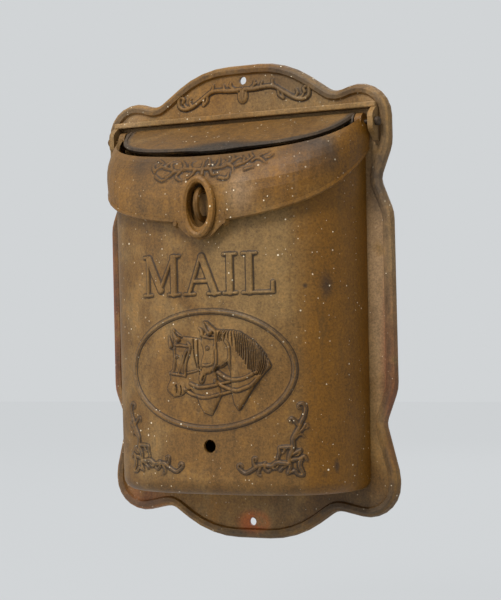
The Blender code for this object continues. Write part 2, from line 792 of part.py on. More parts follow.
def lid_point(across, down, lift=0):
    half_width, depth = lid_plan(down, lift)
    x, y = bow_point(half_width, depth, across, lid_rear_y)
    return x, y, lid_height(x, y, down, depth)


def on_lid(u, down, lift=0):
    half_width, depth = lid_plan(down, lift)
    x = u * relief_unit
    y = bow_depth_at(x, half_width, depth)
    return Vector((x, y, lid_height(x, y, down, depth)))


def make_ring_shield(helpers):
    # The lid's lower edge widens round the ring, with a stud at each shoulder
    bead = ring_bead_radius
    corners = [
        (shield_half_width, ring_half_height / 3, bead),
        (shield_half_width, -ring_half_height / 2, bead),
        (ring_half_width - 2 * bead, -ring_half_height + bead / 2, 2 * bead),
        (0, -ring_half_height - bead / 2, 3 * bead),
    ]
    left = [(-u, v, radius) for u, v, radius in reversed(corners[:-1])]
    middle_y = ring_back_y - shield_thickness / 2
    placement = Matrix(((1, 0, 0, 0), (0, 0, -1, middle_y), (0, 1, 0, ring_z), (0, 0, 0, 1)))
    return filled_outline(
        "ring_shield", fillet_outline(corners + left), shield_thickness, placement, helpers)


def make_lid(parts, helpers):
    lid = mapped_grid("lid", lid_point, bow_columns, lid_rows, parts)
    solidify(lid, casting_wall)
    lip_line = []
    for step in range(bow_columns + 1):
        x, y, z = lid_point(step / bow_columns, 1, lip_rise - lip_radius)
        lip_line.append((x, y, z + lip_radius / 2))
    combine(lid, swept_bar("lid_lip", lip_line, lip_radius, helpers, sides_level=1), "UNION")

    for side in (1, -1):
        ear = cylinder(
            "lid_ear", ear_radius, (side * ear_inner_x, hinge_y, hinge_z),
            (side * ear_outer_x, hinge_y, hinge_z), helpers)
        combine(lid, ear, "UNION")
    combine(lid, make_ring_shield(helpers), "UNION")
    for side in (1, -1):
        z = ring_z - ring_half_height / 2
        combine(lid, cylinder(
            "shield_stud", shield_stud_radius, (side * shield_half_width, ring_back_y, z),
            (side * shield_half_width, ring_back_y - shield_thickness - shield_stud_stand, z), helpers,
            sides=12, end_radius=shield_stud_radius / 2), "UNION")
    unite(lid, raised_lines("lid_scroll", lid_scroll, on_lid, helpers))
    combine(lid, oval_cylinder(
        "ring_boss", ring_half_width - ring_bead_radius / 2, ring_half_height - ring_bead_radius / 2,
        ring_z, ring_back_y, ring_face_y, helpers), "UNION")
    bead_points = []
    for step in range(36):
        angle = 2 * math.pi * step / 36
        bead_points.append((
            (ring_half_width - ring_bead_radius) * math.cos(angle), ring_face_y,
            ring_z + (ring_half_height - ring_bead_radius) * math.sin(angle)))
    combine(lid, swept_bar(
        "ring_bead", bead_points, ring_bead_radius, helpers, closed=True, sides_level=2), "UNION")
    combine(lid, oval_cylinder(
        "hasp_window", window_half_width, window_half_height, window_z,
        -lid_top_depth, ring_face_y - ring_bead_radius - cut_beyond, helpers), "DIFFERENCE")
    bore = rod_diameter / 2 + rod_clearance
    reach = ear_outer_x + cut_beyond
    combine(lid, cylinder(
        "lid_bore", bore, (-reach, hinge_y, hinge_z), (reach, hinge_y, hinge_z), helpers), "DIFFERENCE")
    return lid


# Mail flap

def flap_edge(across, inset, rear_y):
    # Front edge in the flap's own plane: across, and away from the hinge
    x, y = bow_point(flap_half_width - inset, -flap_front_y - inset, across, rear_y, flap_power)
    out = -y / math.cos(flap_slope)
    out += thumb_lip * math.exp(-(x / thumb_lip_half_width) ** 4)
    return x, out


def flap_matrix():
    # Own X across, own Y down the slope, own Z up out of the flap
    turn = Matrix.Rotation(math.pi, 4, "Z") @ Matrix.Rotation(-flap_slope, 4, "X")
    origin = Vector((0, 0, flap_top_z(0)))
    return Matrix.Translation(origin) @ turn


def make_mail_flap(parts, helpers):
    steps = [step / bow_columns for step in range(bow_columns + 1)]
    outline = [flap_edge(across, flap_bead_radius / 2, flap_rear_y) for across in steps]
    place = flap_matrix() @ Matrix.Translation((0, 0, -casting_wall / 2))
    panel = filled_outline("mail_flap", outline, casting_wall, place, parts)

    bead_line = [flap_edge(across, flap_bead_radius, hinge_y) for across in steps]
    bead_world = [flap_matrix() @ Vector((x, out, -flap_bead_radius / 2)) for x, out in bead_line]
    combine(panel, swept_bar("flap_bead", bead_world, flap_bead_radius, helpers, sides_level=1), "UNION")
    for side in (1, -1):
        knuckle = cylinder(
            "flap_knuckle", knuckle_radius, (side * knuckle_inner_x, hinge_y, hinge_z),
            (side * knuckle_outer_x, hinge_y, hinge_z), helpers)
        combine(panel, knuckle, "UNION")
    bore = rod_diameter / 2 + rod_clearance
    reach = knuckle_outer_x + cut_beyond
    combine(panel, cylinder(
        "flap_bore", bore, (-reach, hinge_y, hinge_z), (reach, hinge_y, hinge_z), helpers), "DIFFERENCE")
    return panel


# Rod, staple and screws

def make_hinge_rod(parts):
    shank = rod_diameter / 2
    head = rod_head_diameter / 2
    near = lug_inner_x + lug_thickness + seat_gap
    far = near + rod_head_length
    half = [(shank, near), (head, near), (head, far - 0.0012), (head * 0.72, far - 0.0003), (0, far)]
    profile = [(radius, -along) for radius, along in reversed(half)] + half
    return turned("hinge_rod", profile, hinge_point, (1, 0, 0), parts)


def make_padlock_staple(parts, helpers):
    wall_inner_y = -body_depth + casting_wall
    straight_y = -body_depth - staple_shank
    bend_reach = staple_reach - staple_shank
    line = [(0, wall_inner_y + staple_grip, staple_z - staple_half_height)]
    bends = 14
    for step in range(bends + 1):
        angle = math.pi * step / bends
        line.append((
            0, straight_y - bend_reach * math.sin(angle), staple_z - staple_half_height * math.cos(angle)))
    line.append((0, wall_inner_y + staple_grip, staple_z + staple_half_height))
    staple = swept_bar("padlock_staple", line, staple_bar / 2, parts, sides_level=2)
    for side in (1, -1):
        z = staple_z + side * staple_half_height
        foot = cylinder(
            "staple_foot", staple_foot_radius, (0, wall_inner_y + seat_gap, z),
            (0, wall_inner_y + staple_grip + 0.0004, z), helpers)
        combine(staple, foot, "UNION")
    return staple


def make_box_screw(name, x, z, parts, helpers):
    head = screw_head_diameter / 2
    shank = screw_diameter / 2
    profile = [(0, 0), (head, 0), (head, screw_land), (shank, head - shank + screw_land),
               (shank, screw_length - screw_tip), (shank - screw_tip, screw_length), (0, screw_length)]
    back_y = -(plate_face - casting_wall)
    screw = turned(f"box_screw_{name}", profile, (x, back_y, z), (0, -1, 0), parts, screw_sides)
    slot = box(
        f"slot_{name}", (x - head - 0.001, back_y - screw_slot_depth, z - screw_slot_width / 2),
        (x + head + 0.001, back_y + 0.001, z + screw_slot_width / 2), helpers)
    combine(screw, slot, "DIFFERENCE")
    return screw


bow_shares = even_shares(bow_columns)


def main():
    clear_scene()
    parts = make_collection("rusty_mailbox")
    helpers = make_collection("joins_and_cuts")
    iron = make_material("rusted_cast_iron", iron_colour, 0.62, 0.25)
    dark_iron = make_material("worn_dark_iron", dark_iron_colour, 0.55, 0.4)
    steel = make_material("rusted_steel", steel_colour, 0.5, 0.6)

    finish_part(make_back_plate(parts, helpers), iron)
    finish_part(make_box_body(parts, helpers), iron)
    finish_part(make_lid(parts, helpers), iron, hinge_point)
    finish_part(make_mail_flap(parts, helpers), iron, hinge_point)
    finish_part(make_hinge_rod(parts), steel)
    finish_part(make_padlock_staple(parts, helpers), dark_iron)
    for name, x, z in screw_places():
        finish_part(make_box_screw(name, x, z, parts, helpers), steel)


main()
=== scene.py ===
# Looks of a rusty cast iron wall mailbox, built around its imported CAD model
import math

import bmesh
import bpy
import numpy as np
from mathutils import Matrix, Vector


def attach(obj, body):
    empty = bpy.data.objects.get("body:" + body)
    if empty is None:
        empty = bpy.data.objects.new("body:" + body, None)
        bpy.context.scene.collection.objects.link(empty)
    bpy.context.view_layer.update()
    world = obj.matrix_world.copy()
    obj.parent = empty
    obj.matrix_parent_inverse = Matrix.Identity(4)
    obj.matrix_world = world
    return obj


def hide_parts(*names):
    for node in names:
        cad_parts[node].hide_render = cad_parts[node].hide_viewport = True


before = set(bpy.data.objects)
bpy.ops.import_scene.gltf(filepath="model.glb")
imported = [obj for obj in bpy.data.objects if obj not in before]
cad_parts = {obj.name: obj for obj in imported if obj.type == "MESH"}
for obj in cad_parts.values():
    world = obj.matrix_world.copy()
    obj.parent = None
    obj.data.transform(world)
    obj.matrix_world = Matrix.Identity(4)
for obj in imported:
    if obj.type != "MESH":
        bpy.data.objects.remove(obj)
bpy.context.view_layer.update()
mm = 0.001
scene = bpy.context.scene
scene.view_settings.view_transform = "Standard"
print("frame loaded:", ", ".join(sorted(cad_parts)))


# Shader building: a small class wraps a socket, and one maker adds any other node

class Value:
    def __init__(self, maker, socket):
        self.maker = maker
        self.socket = socket

    def join(self, operation, other, swapped=False):
        pair = (other, self) if swapped else (self, other)
        return self.maker.node("Math", {"operation": operation}, {0: pair[0], 1: pair[1]})

    def __add__(self, other):
        return self.join("ADD", other)

    def __radd__(self, other):
        return self.join("ADD", other, True)

    def __sub__(self, other):
        return self.join("SUBTRACT", other)

    def __rsub__(self, other):
        return self.join("SUBTRACT", other, True)

    def __mul__(self, other):
        return self.join("MULTIPLY", other)

    def __truediv__(self, other):
        return self.join("DIVIDE", other)

    def __pow__(self, other):
        return self.join("POWER", other)


class MaterialMaker:
    def __init__(self, name):
        self.material = bpy.data.materials.new(name)
        self.material.use_nodes = True
        self.tree = self.material.node_tree
        self.shader = self.tree.nodes["Principled BSDF"]

    def node(self, kind, settings=None, inputs=None, output=0):
        made = self.tree.nodes.new("ShaderNode" + kind)
        for key, value in (settings or {}).items():
            setattr(made, key, value)
        for key, value in (inputs or {}).items():
            self.feed(made.inputs[key], value)
        return Value(self, made.outputs[output])

    def feed(self, socket, value):
        if isinstance(value, Value):
            self.tree.links.new(value.socket, socket)
        else:
            socket.default_value = value

    def set(self, name, value):
        self.feed(self.shader.inputs[name], value)

    def place(self, scale=(1, 1, 1)):
        coords = self.node("TexCoord", output="Object")
        return self.node("Mapping", {}, {"Vector": coords, "Scale": scale})

    def noise(self, where, scale, detail, rough, distortion=0):
        return self.node("TexNoise", {}, {
            "Vector": where, "Scale": scale, "Detail": detail, "Roughness": rough, "Distortion": distortion})

    def band(self, value, low, high):
        # 0 under low, 1 over high, smooth between
        return self.node("MapRange", {"interpolation_type": "SMOOTHSTEP"}, {
            "Value": value, "From Min": low, "From Max": high})

    def mix(self, share, first, second):
        return self.node("Mix", {"data_type": "RGBA"}, {0: share, 6: first, 7: second}, output=2)

    def axis(self, vector, name):
        return self.node("SeparateXYZ", {}, {0: vector}, output=name)

    def spot(self, where, centre, radius, soft, stretch):
        # 1 inside an ellipsoid about centre, falling to 0 over a soft edge
        off = self.node("VectorMath", {"operation": "SUBTRACT"}, {0: where, 1: centre})
        scaled = self.node("VectorMath", {"operation": "MULTIPLY"}, {0: off, 1: stretch})
        far = self.node("VectorMath", {"operation": "LENGTH"}, {0: scaled}, output="Value")
        return 1 - self.band(far, radius - soft, radius + soft)


def rgb(red, green, blue):
    # A colour as read from a picture, 0 to 255, made linear
    linear = []
    for part in (red, green, blue):
        part = part / 255
        linear.append(part / 12.92 if part <= 0.04045 else ((part + 0.055) / 1.055) ** 2.4)
    return (*linear, 1)


# Rusted iron: browns that drift over a hand's width, fine mottling, dark worn crests,
# ochre rust in patches, and many tiny pale specks

ironTones = {
    "ochre": rgb(130, 89, 32),
    "brown": rgb(110, 77, 32),
    "greyBrown": rgb(128, 99, 57),
    "pale": rgb(154, 124, 90),
    "side": rgb(118, 76, 8),
    "sideDark": rgb(88, 58, 13),
    "dark": rgb(58, 42, 26),
    "blueDark": rgb(50, 42, 34),
    "worn": rgb(66, 54, 41),
    # painted shade, laid into the hollows of the relief
    "recess": rgb(48, 35, 21),
    "orangeRust": rgb(170, 84, 34),
    "redRust": rgb(116, 56, 36),
    "speck": rgb(240, 226, 196),
}

# Noise scales from the widest drift to the finest grit, and the finish of the surface
ironGrain = {
    "drift": 9,
    "flock": 14,
    "cloud": 38,
    "edge": 55,
    "mottle": 190,
    "specks": 330,
    "grit": 560,
    "streak": (150, 150, 15),
    "sideBlend": 0.016,
    "metal": 0.1,
    "specular": 0.34,
    "bumpStrength": 0.5,
    "bumpHeight": 0.0011,
}


def ironMaterial(name, look):
    m = MaterialMaker(name)
    where = m.place()
    drift = m.noise(where, ironGrain["drift"], 3, 0.5)
    cloud = m.noise(where, ironGrain["cloud"], 5, 0.6, 0.3)
    mottle = m.noise(where, ironGrain["mottle"], 5, 0.65)
    grit = m.noise(where, ironGrain["grit"], 4, 0.75)
    streak = m.noise(m.place(ironGrain["streak"]), 1, 4, 0.6)

    grey = 0.62 - 0.25 * look.get("grey", 0.5)
    greyMask = m.band(drift * 0.6 + cloud * 0.4, grey - 0.04, grey + 0.14)
    ochreMask = m.band(cloud * 0.5 + mottle * 0.25 + streak * 0.25, 0.50, 0.66)
    colour = m.mix(greyMask, ironTones["brown"], ironTones["greyBrown"])
    colour = m.mix(ochreMask * 0.55, colour, ironTones["ochre"])
    if "sideFrom" in look:
        # Past this place across, the brown turns deeper and warmer
        across = m.axis(where, "X") + (drift - 0.5) * 0.035 + (cloud - 0.5) * 0.012
        veins = m.band(streak * 0.6 + mottle * 0.4, 0.48, 0.68)
        deep = m.mix(veins, ironTones["side"], ironTones["sideDark"])
        beyond = m.band(across, look["sideFrom"], look["sideFrom"] + ironGrain["sideBlend"])
        colour = m.mix(beyond * 0.92, colour, deep)

    rough = 0.42 + mottle * 0.24
    edge = m.noise(where, ironGrain["edge"], 4, 0.6)
    for centre, radius, soft, stretch, tone, share in look.get("spots", ()):
        mask = m.spot(where, centre, radius, soft, stretch) * m.band(edge, 0.24, 0.48)
        colour = m.mix(mask * share, colour, ironTones[tone])
    if "bow" in look:
        # Worn dark along the bead that follows a bow fronted edge
        halfWidth, depth, power = look["bow"]
        across = m.node("Math", {"operation": "ABSOLUTE"}, {0: m.axis(where, "X")})
        forward = m.node("Math", {"operation": "ABSOLUTE"}, {0: m.axis(where, "Y")})
        reach = (across / halfWidth) ** power + (forward / depth) ** power
        colour = m.mix(m.band(reach + (edge - 0.5) * 0.2, 0.78, 0.90) * 0.85, colour, ironTones["worn"])
    if "rimCrest" in look:
        # Worn along the raised rim, between its crest and the forms that stand further out
        low, high = look["rimCrest"]
        forward = 0 - m.axis(where, "Y")
        rim = m.band(forward, low, low + 0.0014) * (1 - m.band(forward, high, high + 0.0010))
        colour = m.mix(rim * m.band(edge, 0.32, 0.56) * 0.55, colour, ironTones["worn"])
    if "wornFrom" in look:
        crest = m.node("Attribute", {"attribute_name": "crest"}, output="Fac")
        worn = m.band(crest + (edge - 0.5) * 0.55, look["wornFrom"], look["wornFrom"] + 0.35)
        colour = m.mix(worn * 0.8, colour, ironTones["worn"])
        rough = rough - worn * 0.12
        # Painted shade: hollows between raised forms and the foot of each form take the dark recess tone,
        # where shade falls
        hollowShade = m.node("Attribute", {"attribute_name": "hollowShade"}, output="Fac")
        colour = m.mix(m.band(hollowShade + (edge - 0.5) * 0.25, 0.05, 0.62) * 0.88, colour, ironTones["recess"])

    # Fine dark and light grain, as of a sand cast face
    shade = look.get("shade", 1) + (grit - 0.5) * 2.0 + (mottle - 0.5) * 0.6
    shade = shade + (streak - 0.5) * 0.7 + (cloud - 0.5) * 0.35
    colour = m.node("VectorMath", {"operation": "SCALE"}, {0: colour, "Scale": shade})
    pits = m.band(mottle * 0.5 + grit * 0.5, 0.60, 0.70)
    colour = m.mix(pits * 0.5, colour, ironTones["dark"])

    dots = {"Vector": where, "Scale": ironGrain["specks"], "Randomness": 1.0}
    cells = m.node("TexVoronoi", {"feature": "F1"}, dots)
    tints = m.node("TexVoronoi", {"feature": "F1"}, dots, output="Color")
    flock = m.band(m.noise(where, ironGrain["flock"], 2, 0.5), 0.40, 0.62)
    chosen = m.band(m.axis(tints, "X"), 0.80 - 0.06 * look.get("specks", 1), 0.90)
    size = 0.05 + m.axis(tints, "Y") * m.axis(tints, "Z") * 0.20
    speck = (1 - m.band(cells, size, size + 0.06)) * chosen * (0.35 + flock * 0.65)
    colour = m.mix(speck, colour, ironTones["speck"])

    m.set("Base Color", colour)
    m.set("Roughness", rough)
    m.set("Metallic", look.get("metal", ironGrain["metal"]))
    m.set("Specular IOR Level", ironGrain["specular"])
    height = mottle * 0.45 + cloud * 0.30 + grit * 0.25
    bump = m.node("Bump", {}, {
        "Strength": ironGrain["bumpStrength"], "Distance": ironGrain["bumpHeight"], "Height": height})
    m.set("Normal", bump)
    return m.material


def dress(piece, material):
    piece.data.materials.clear()
    piece.data.materials.append(material)


# Bow fronted forms, cast to the same sizes as the solids

bowPower = 2.9

bodyForm = {
    "halfWidth": 0.1078,
    "taper": 0.008,
    "depth": 0.078,
    "floor": -0.1535,
    "frontTop": 0.088,
    "topSlope": 0.55,
    "floorRadius": 0.010,
    "wall": 0.003,
    "rearY": -0.0053,
    "columns": 150,
    "wallRows": 34,
    "floorRows": 8,
    "peepHole": (-0.1147, 0.00525),
    "stapleHoles": ((0.0865, 0.0028), (0.0635, 0.0028)),
    "holeInside": 0.005,
    "holeOutside": 0.002,
    "bossRadius": 0.0055,
    "bossLength": 0.0160,
    "bossSink": 0.0022,
    "bossHole": 0.0023,
    "bossHoleEnd": -0.0183,
    "bossLevels": (0.095, -0.128),
}


def bowAt(halfWidth, depth, rearY, shares):
    # Places on a bow fronted plan, from its right rear end to its left one
    first = math.asin((-rearY / depth) ** (bowPower / 2))
    turn = first + (math.pi - 2 * first) * shares
    side = np.cos(turn)
    x = halfWidth * np.sign(side) * np.abs(side) ** (2 / bowPower)
    return x, -depth * np.sin(turn) ** (2 / bowPower)


def evenShares(halfWidth, depth, rearY, columns):
    # Shares of the half turn that space the plan out evenly
    fine = np.linspace(0, 1, 4001)
    x, y = bowAt(halfWidth, depth, rearY, fine)
    reach = np.concatenate(([0], np.cumsum(np.hypot(np.diff(x), np.diff(y)))))
    return np.interp(np.linspace(0, reach[-1], columns + 1), reach, fine)


def addPiece(name, mesh):
    piece = bpy.data.objects.new(name, mesh)
    scene.collection.objects.link(piece)
    return piece


def gridPiece(name, places):
    # A grid of faces bent to an array of rows and columns of places
    rows, columns = places.shape[:2]
    bm = bmesh.new()
    bmesh.ops.create_grid(bm, x_segments=columns - 1, y_segments=rows - 1, size=0.5)
    mesh = bpy.data.meshes.new(name)
    bm.to_mesh(mesh)
    bm.free()
    mesh.vertices.foreach_set("co", places.reshape(-1))
    mesh.update()
    return addPiece(name, mesh)


def applied(piece):
    # The piece with its modifiers made part of its mesh
    graph = bpy.context.evaluated_depsgraph_get()
    mesh = bpy.data.meshes.new_from_object(piece.evaluated_get(graph))
    piece.modifiers.clear()
    piece.data = mesh
    return piece


def smooth(piece, angle=40):
    piece.data.shade_smooth()
    piece.data.set_sharp_from_angle(angle=math.radians(angle))


def rod(name, radius, start, end, sides=32):
    start = Vector(start)
    end = Vector(end)
    bm = bmesh.new()
    bmesh.ops.create_cone(
        bm, cap_ends=True, segments=sides, radius1=radius, radius2=radius, depth=(end - start).length)
    turn = (end - start).to_track_quat("Z", "Y").to_matrix().to_4x4()
    bm.transform(Matrix.Translation((start + end) / 2) @ turn)
    mesh = bpy.data.meshes.new(name)
    bm.to_mesh(mesh)
    bm.free()
    return addPiece(name, mesh)


def joinOrCut(piece, tool, operation):
    step = piece.modifiers.new(operation.lower(), "BOOLEAN")
    step.operation = operation
    step.object = tool
    applied(piece)
    bpy.data.objects.remove(tool, do_unlink=True)


def bodyWidthAt(z):
    return bodyForm["halfWidth"] - bodyForm["taper"] * (bodyForm["frontTop"] - z)


def makeBodyShell():
    form = bodyForm
    shares = evenShares(form["halfWidth"], form["depth"], form["rearY"], form["columns"])
    plainX, plainY = bowAt(1, form["depth"], form["rearY"], shares)
    top = form["frontTop"] + (form["depth"] + plainY) * form["topSlope"]
    rows = []
    for row in range(form["wallRows"] + 1):
        z = top + (form["floor"] + form["floorRadius"] - top) * row / form["wallRows"]
        rows.append(np.stack([plainX * bodyWidthAt(z), plainY, z], axis=1))
    for row in range(1, form["floorRows"] + 1):
        lean = math.pi / 2 * row / form["floorRows"]
        tuck = form["floorRadius"] * (1 - math.cos(lean))
        z = form["floor"] + form["floorRadius"] * (1 - math.sin(lean))
        x, y = bowAt(bodyWidthAt(z) - tuck, form["depth"] - tuck, form["rearY"], shares)
        rows.append(np.stack([x, y, np.full_like(x, z)], axis=1))
    shell = gridPiece("castBody", np.array(rows))
    bm = bmesh.new()
    bm.from_mesh(shell.data)
    rim = [vert for vert in bm.verts if vert.co.z < form["floor"] + 0.01 * mm]
    rim.sort(key=lambda vert: vert.co.x)
    bm.faces.new(rim)
    bmesh.ops.recalc_face_normals(bm, faces=bm.faces)
    bm.to_mesh(shell.data)
    bm.free()
    wall = shell.modifiers.new("wall", "SOLIDIFY")
    wall.thickness = form["wall"]
    wall.offset = -1
    wall.use_even_offset = True
    applied(shell)
    for z in form["bossLevels"]:
        x = bodyWidthAt(z) - form["wall"] - form["bossRadius"] + form["bossSink"]
        for side in (1, -1):
            joinOrCut(shell, rod("boss", form["bossRadius"], (side * x, form["rearY"], z), (
                side * x, form["rearY"] - form["bossLength"], z)), "UNION")
            joinOrCut(shell, rod("bossHole", form["bossHole"], (side * x, 0, z), (
                side * x, form["bossHoleEnd"], z)), "DIFFERENCE")
    for z, radius in (form["peepHole"], *form["stapleHoles"]):
        joinOrCut(shell, rod("frontHole", radius, (0, -form["depth"] + form["holeInside"], z), (
            0, -form["depth"] - form["holeOutside"], z)), "DIFFERENCE")
    smooth(shell)
    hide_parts("box_body")
    settle(shell, "box")
    return shell


def settle(piece, body):
    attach(piece, body)


# Surfaces that carry relief: places for arrays of x and of height or way down

def onBody(x, z):
    share = np.abs(x) / bodyWidthAt(z)
    return np.stack([x, -bodyForm["depth"] * (1 - share ** bowPower) ** (1 / bowPower), z], axis=-1)


plateFaceY = -0.005


def onPlate(x, z):
    return np.stack([x, np.full_like(x, plateFaceY), z], axis=-1)


lidForm = {
    "topHalfWidth": 0.1105,
    "topDepth": 0.069,
    "bottomHalfWidth": 0.1128,
    "bottomDepth": 0.086,
    "bottomZ": 0.0655,
    "topFrontZ": 0.1159,
    "topRearZ": 0.1458,
    "frontPower": 1.25,
    "sideSlope": 0.68,
    "bulge": 0.0075,
    "sideBulge": 0.0025,
    "frontDip": 0.0040,
    "dipHalfWidth": 0.050,
    "fingerDip": 0.0012,
    "fingerHalfWidth": 0.036,
    "rearY": -0.0107,
    "slant": 0.056,
}


def lidPlan(down):
    form = lidForm
    swell = np.sin(math.pi * down)
    halfWidth = form["topHalfWidth"] + (form["bottomHalfWidth"] - form["topHalfWidth"]) * down
    depth = form["topDepth"] + (form["bottomDepth"] - form["topDepth"]) * down
    return halfWidth + form["sideBulge"] * swell, depth + form["bulge"] * swell


def lidHeight(x, y, down, depth):
    form = lidForm
    front = form["topFrontZ"] + (form["bottomZ"] - form["topFrontZ"]) * down ** form["frontPower"]
    rearBottom = form["bottomZ"] + form["sideSlope"] * (form["bottomDepth"] + form["rearY"])
    rear = form["topRearZ"] + (rearBottom - form["topRearZ"]) * down
    z = front + (rear - front) * (depth + y) / (depth + form["rearY"])
    z = z - form["frontDip"] * down ** 2 * np.exp(-(x / form["dipHalfWidth"]) ** 2)
    return z - form["fingerDip"] * (1 - down) ** 3 * np.exp(-(x / form["fingerHalfWidth"]) ** 4)


def onLid(x, fall):
    # fall is measured down the lid from its top edge, and is negative
    down = -fall / lidForm["slant"]
    halfWidth, depth = lidPlan(down)
    y = -depth * (1 - (np.abs(x) / halfWidth) ** bowPower) ** (1 / bowPower)
    return np.stack([x, y, lidHeight(x, y, down, depth)], axis=-1)


# Relief: heights in millimetres over a rectangle, built up from fields, ridges, domes and cuts

reliefFit = {
    "halo": 0.10,
    "lidLift": 0.15,
    "borderSunk": 0.9,
    "margin": 1.2,
    "softReach": 0.9,
    "crestGain": 2.2,
    "hollowShadeGain": 2.4,
    "footHeight": 0.35,
    "plainWear": 0.35,
}


class Relief:
    def __init__(self, left, right, low, high, step):
        across = np.arange(right, left - step / 2, -step)
        up = np.arange(high, low - step / 2, -step)
        self.u, self.v = np.meshgrid(across, up)
        self.step = step
        self.base = np.zeros_like(self.u)
        self.detail = np.zeros_like(self.u)
        self.cuts = np.zeros_like(self.u)
        self.wear = np.full_like(self.u, reliefFit["plainWear"])

    def near(self, line):
        # Distance to a line of points, and the share of its length at the nearest place
        best = np.full(self.u.shape, 1e6)
        along = np.zeros_like(best)
        total = sum(math.dist(a, b) for a, b in zip(line, line[1:]))
        done = 0
        for (au, av), (bu, bv) in zip(line, line[1:]):
            length = math.dist((au, av), (bu, bv))
            if length == 0:
                continue
            share = ((self.u - au) * (bu - au) + (self.v - av) * (bv - av)) / length ** 2
            share = np.clip(share, 0, 1)
            away = np.hypot(self.u - au - share * (bu - au), self.v - av - share * (bv - av))
            closer = away < best
            best[closer] = away[closer]
            along[closer] = ((done + share * length) / total)[closer]
            done += length
        return best, along

    def field(self, outline, rise, soft):
        # A raised plateau inside a closed outline, rounded off over a soft edge
        closed = list(outline) + [outline[0]]
        inside = np.zeros(self.u.shape, bool)
        for (au, av), (bu, bv) in zip(closed, closed[1:]):
            if av != bv:
                spans = (self.v < av) != (self.v < bv)
                inside ^= spans & (self.u < au + (self.v - av) / (bv - av) * (bu - au))
        away, _ = self.near(closed)
        share = np.clip(away / soft, 0, 1)
        self.base = np.maximum(self.base, inside * rise * np.sqrt(share * (2 - share)))

    def ridge(self, points, thick, thin, rise=1.0, curved=True):
        away, along = self.near(curvedLine(points) if curved else points)
        radius = thick + (thin - thick) * along
        round_ = np.sqrt(np.clip(1 - (away / radius) ** 2, 0, 1)) * radius * rise
        self.detail = np.maximum(self.detail, round_)

    def flatBar(self, start, end, halfWidth, rise, bevel):
        away, _ = self.near([start, end])
        self.detail = np.maximum(self.detail, rise * np.clip((halfWidth - away) / bevel, 0, 1))

    def dome(self, u, v, halfWidth, halfHeight, rise, lean):
        turn = math.radians(lean)
        du = self.u - u
        dv = self.v - v
        a = (du * math.cos(turn) - dv * math.sin(turn)) / halfWidth
        b = (du * math.sin(turn) + dv * math.cos(turn)) / halfHeight
        self.detail = np.maximum(self.detail, rise * np.sqrt(np.clip(1 - a * a - b * b, 0, 1)))

    def groove(self, points, thick, thin, deep):
        away, along = self.near(curvedLine(points))
        radius = thick + (thin - thick) * along
        self.cuts = np.maximum(self.cuts, deep * np.clip(1 - (away / radius) ** 2, 0, 1))

    def heights(self):
        whole = self.base + self.detail
        return np.maximum(whole - self.cuts * (whole > 0), 0)


def curvedLine(points, between=5):
    # A smooth line through the points
    if len(points) < 3:
        return list(points)
    ends = [points[0], *points, points[-1]]
    line = []
    for a, b, c, d in zip(ends, ends[1:], ends[2:], ends[3:]):
        for step in range(between):
            t = step / between
            line.append(tuple(
                0.5 * (2 * q + (r - p) * t + (2 * p - 5 * q + 4 * r - s) * t * t
                       + (3 * q - p - 3 * r + s) * t ** 3)
                for p, q, r, s in zip(a, b, c, d)))
    line.append(points[-1])
    return line


def blurred(field, reach):
    for axis in (0, 1):
        for _ in range(2):
            wide = np.pad(field, [(reach, reach) if axis == k else (0, 0) for k in (0, 1)], mode="edge")
            total = np.cumsum(wide, axis=axis)
            total = np.insert(total, 0, 0, axis=axis)
            span = 2 * reach + 1
            field = (np.take(total, range(span, total.shape[axis]), axis)
                     - np.take(total, range(0, total.shape[axis] - span), axis)) / span
    return field


def reliefPiece(name, relief, surface, body):
    # A thin skin that shows only where its heights lift it out of the surface that carries it
    fit = reliefFit
    heights = relief.heights()
    base = surface(relief.u * mm, relief.v * mm)
    across = np.gradient(base, axis=1)
    down = np.gradient(base, axis=0)
    normal = np.cross(across, down)
    normal /= np.linalg.norm(normal, axis=-1, keepdims=True)
    lift = heights + (fit["halo"] if body == "box" else fit["lidLift"])
    kept = blurred((heights > 0).astype(float), max(2, round(fit["margin"] / relief.step))) > 0
    rim = blurred(kept.astype(float), 1) < 0.999
    lift[rim] = -fit["borderSunk"]
    piece = gridPiece(name, base + normal * (lift * mm)[..., None])
    # Painted shade: the layer built below darkens the hollows between raised forms and the low foot of each
    # form
    soft = blurred(heights, max(1, round(fit["softReach"] / relief.step)))
    crest = np.clip((heights - soft) * fit["crestGain"], 0, 1) * relief.wear
    foot = np.clip((fit["footHeight"] - heights) / fit["footHeight"], 0, 1) * (heights > 0)
    hollowShade = np.clip((soft - heights) * fit["hollowShadeGain"], 0, 1) + foot
    for label, values in (("crest", crest), ("hollowShade", np.clip(hollowShade, 0, 1))):
        layer = piece.data.attributes.new(label, "FLOAT", "POINT")
        layer.data.foreach_set("value", values.reshape(-1))
    bm = bmesh.new()
    bm.from_mesh(piece.data)
    bm.verts.ensure_lookup_table()
    empty = [bm.verts[i] for i in np.flatnonzero(~kept.reshape(-1))]
    bmesh.ops.delete(bm, geom=empty, context="VERTS")
    bm.to_mesh(piece.data)
    bm.free()
    smooth(piece, 180)
    settle(piece, body)
    return piece


# Corner scrolls, from each lower corner of the box front

scrollCorner = {
    "side": 75.0,
    "up": -135.0,
    "step": 0.5,
    "inwards": 54,
    "outwards": 6,
    "below": 5,
    "above": 57,
    "thick": 1.15,
    "thin": 1.1,
    "rise": 1.1,
    "wear": 0.6,
}

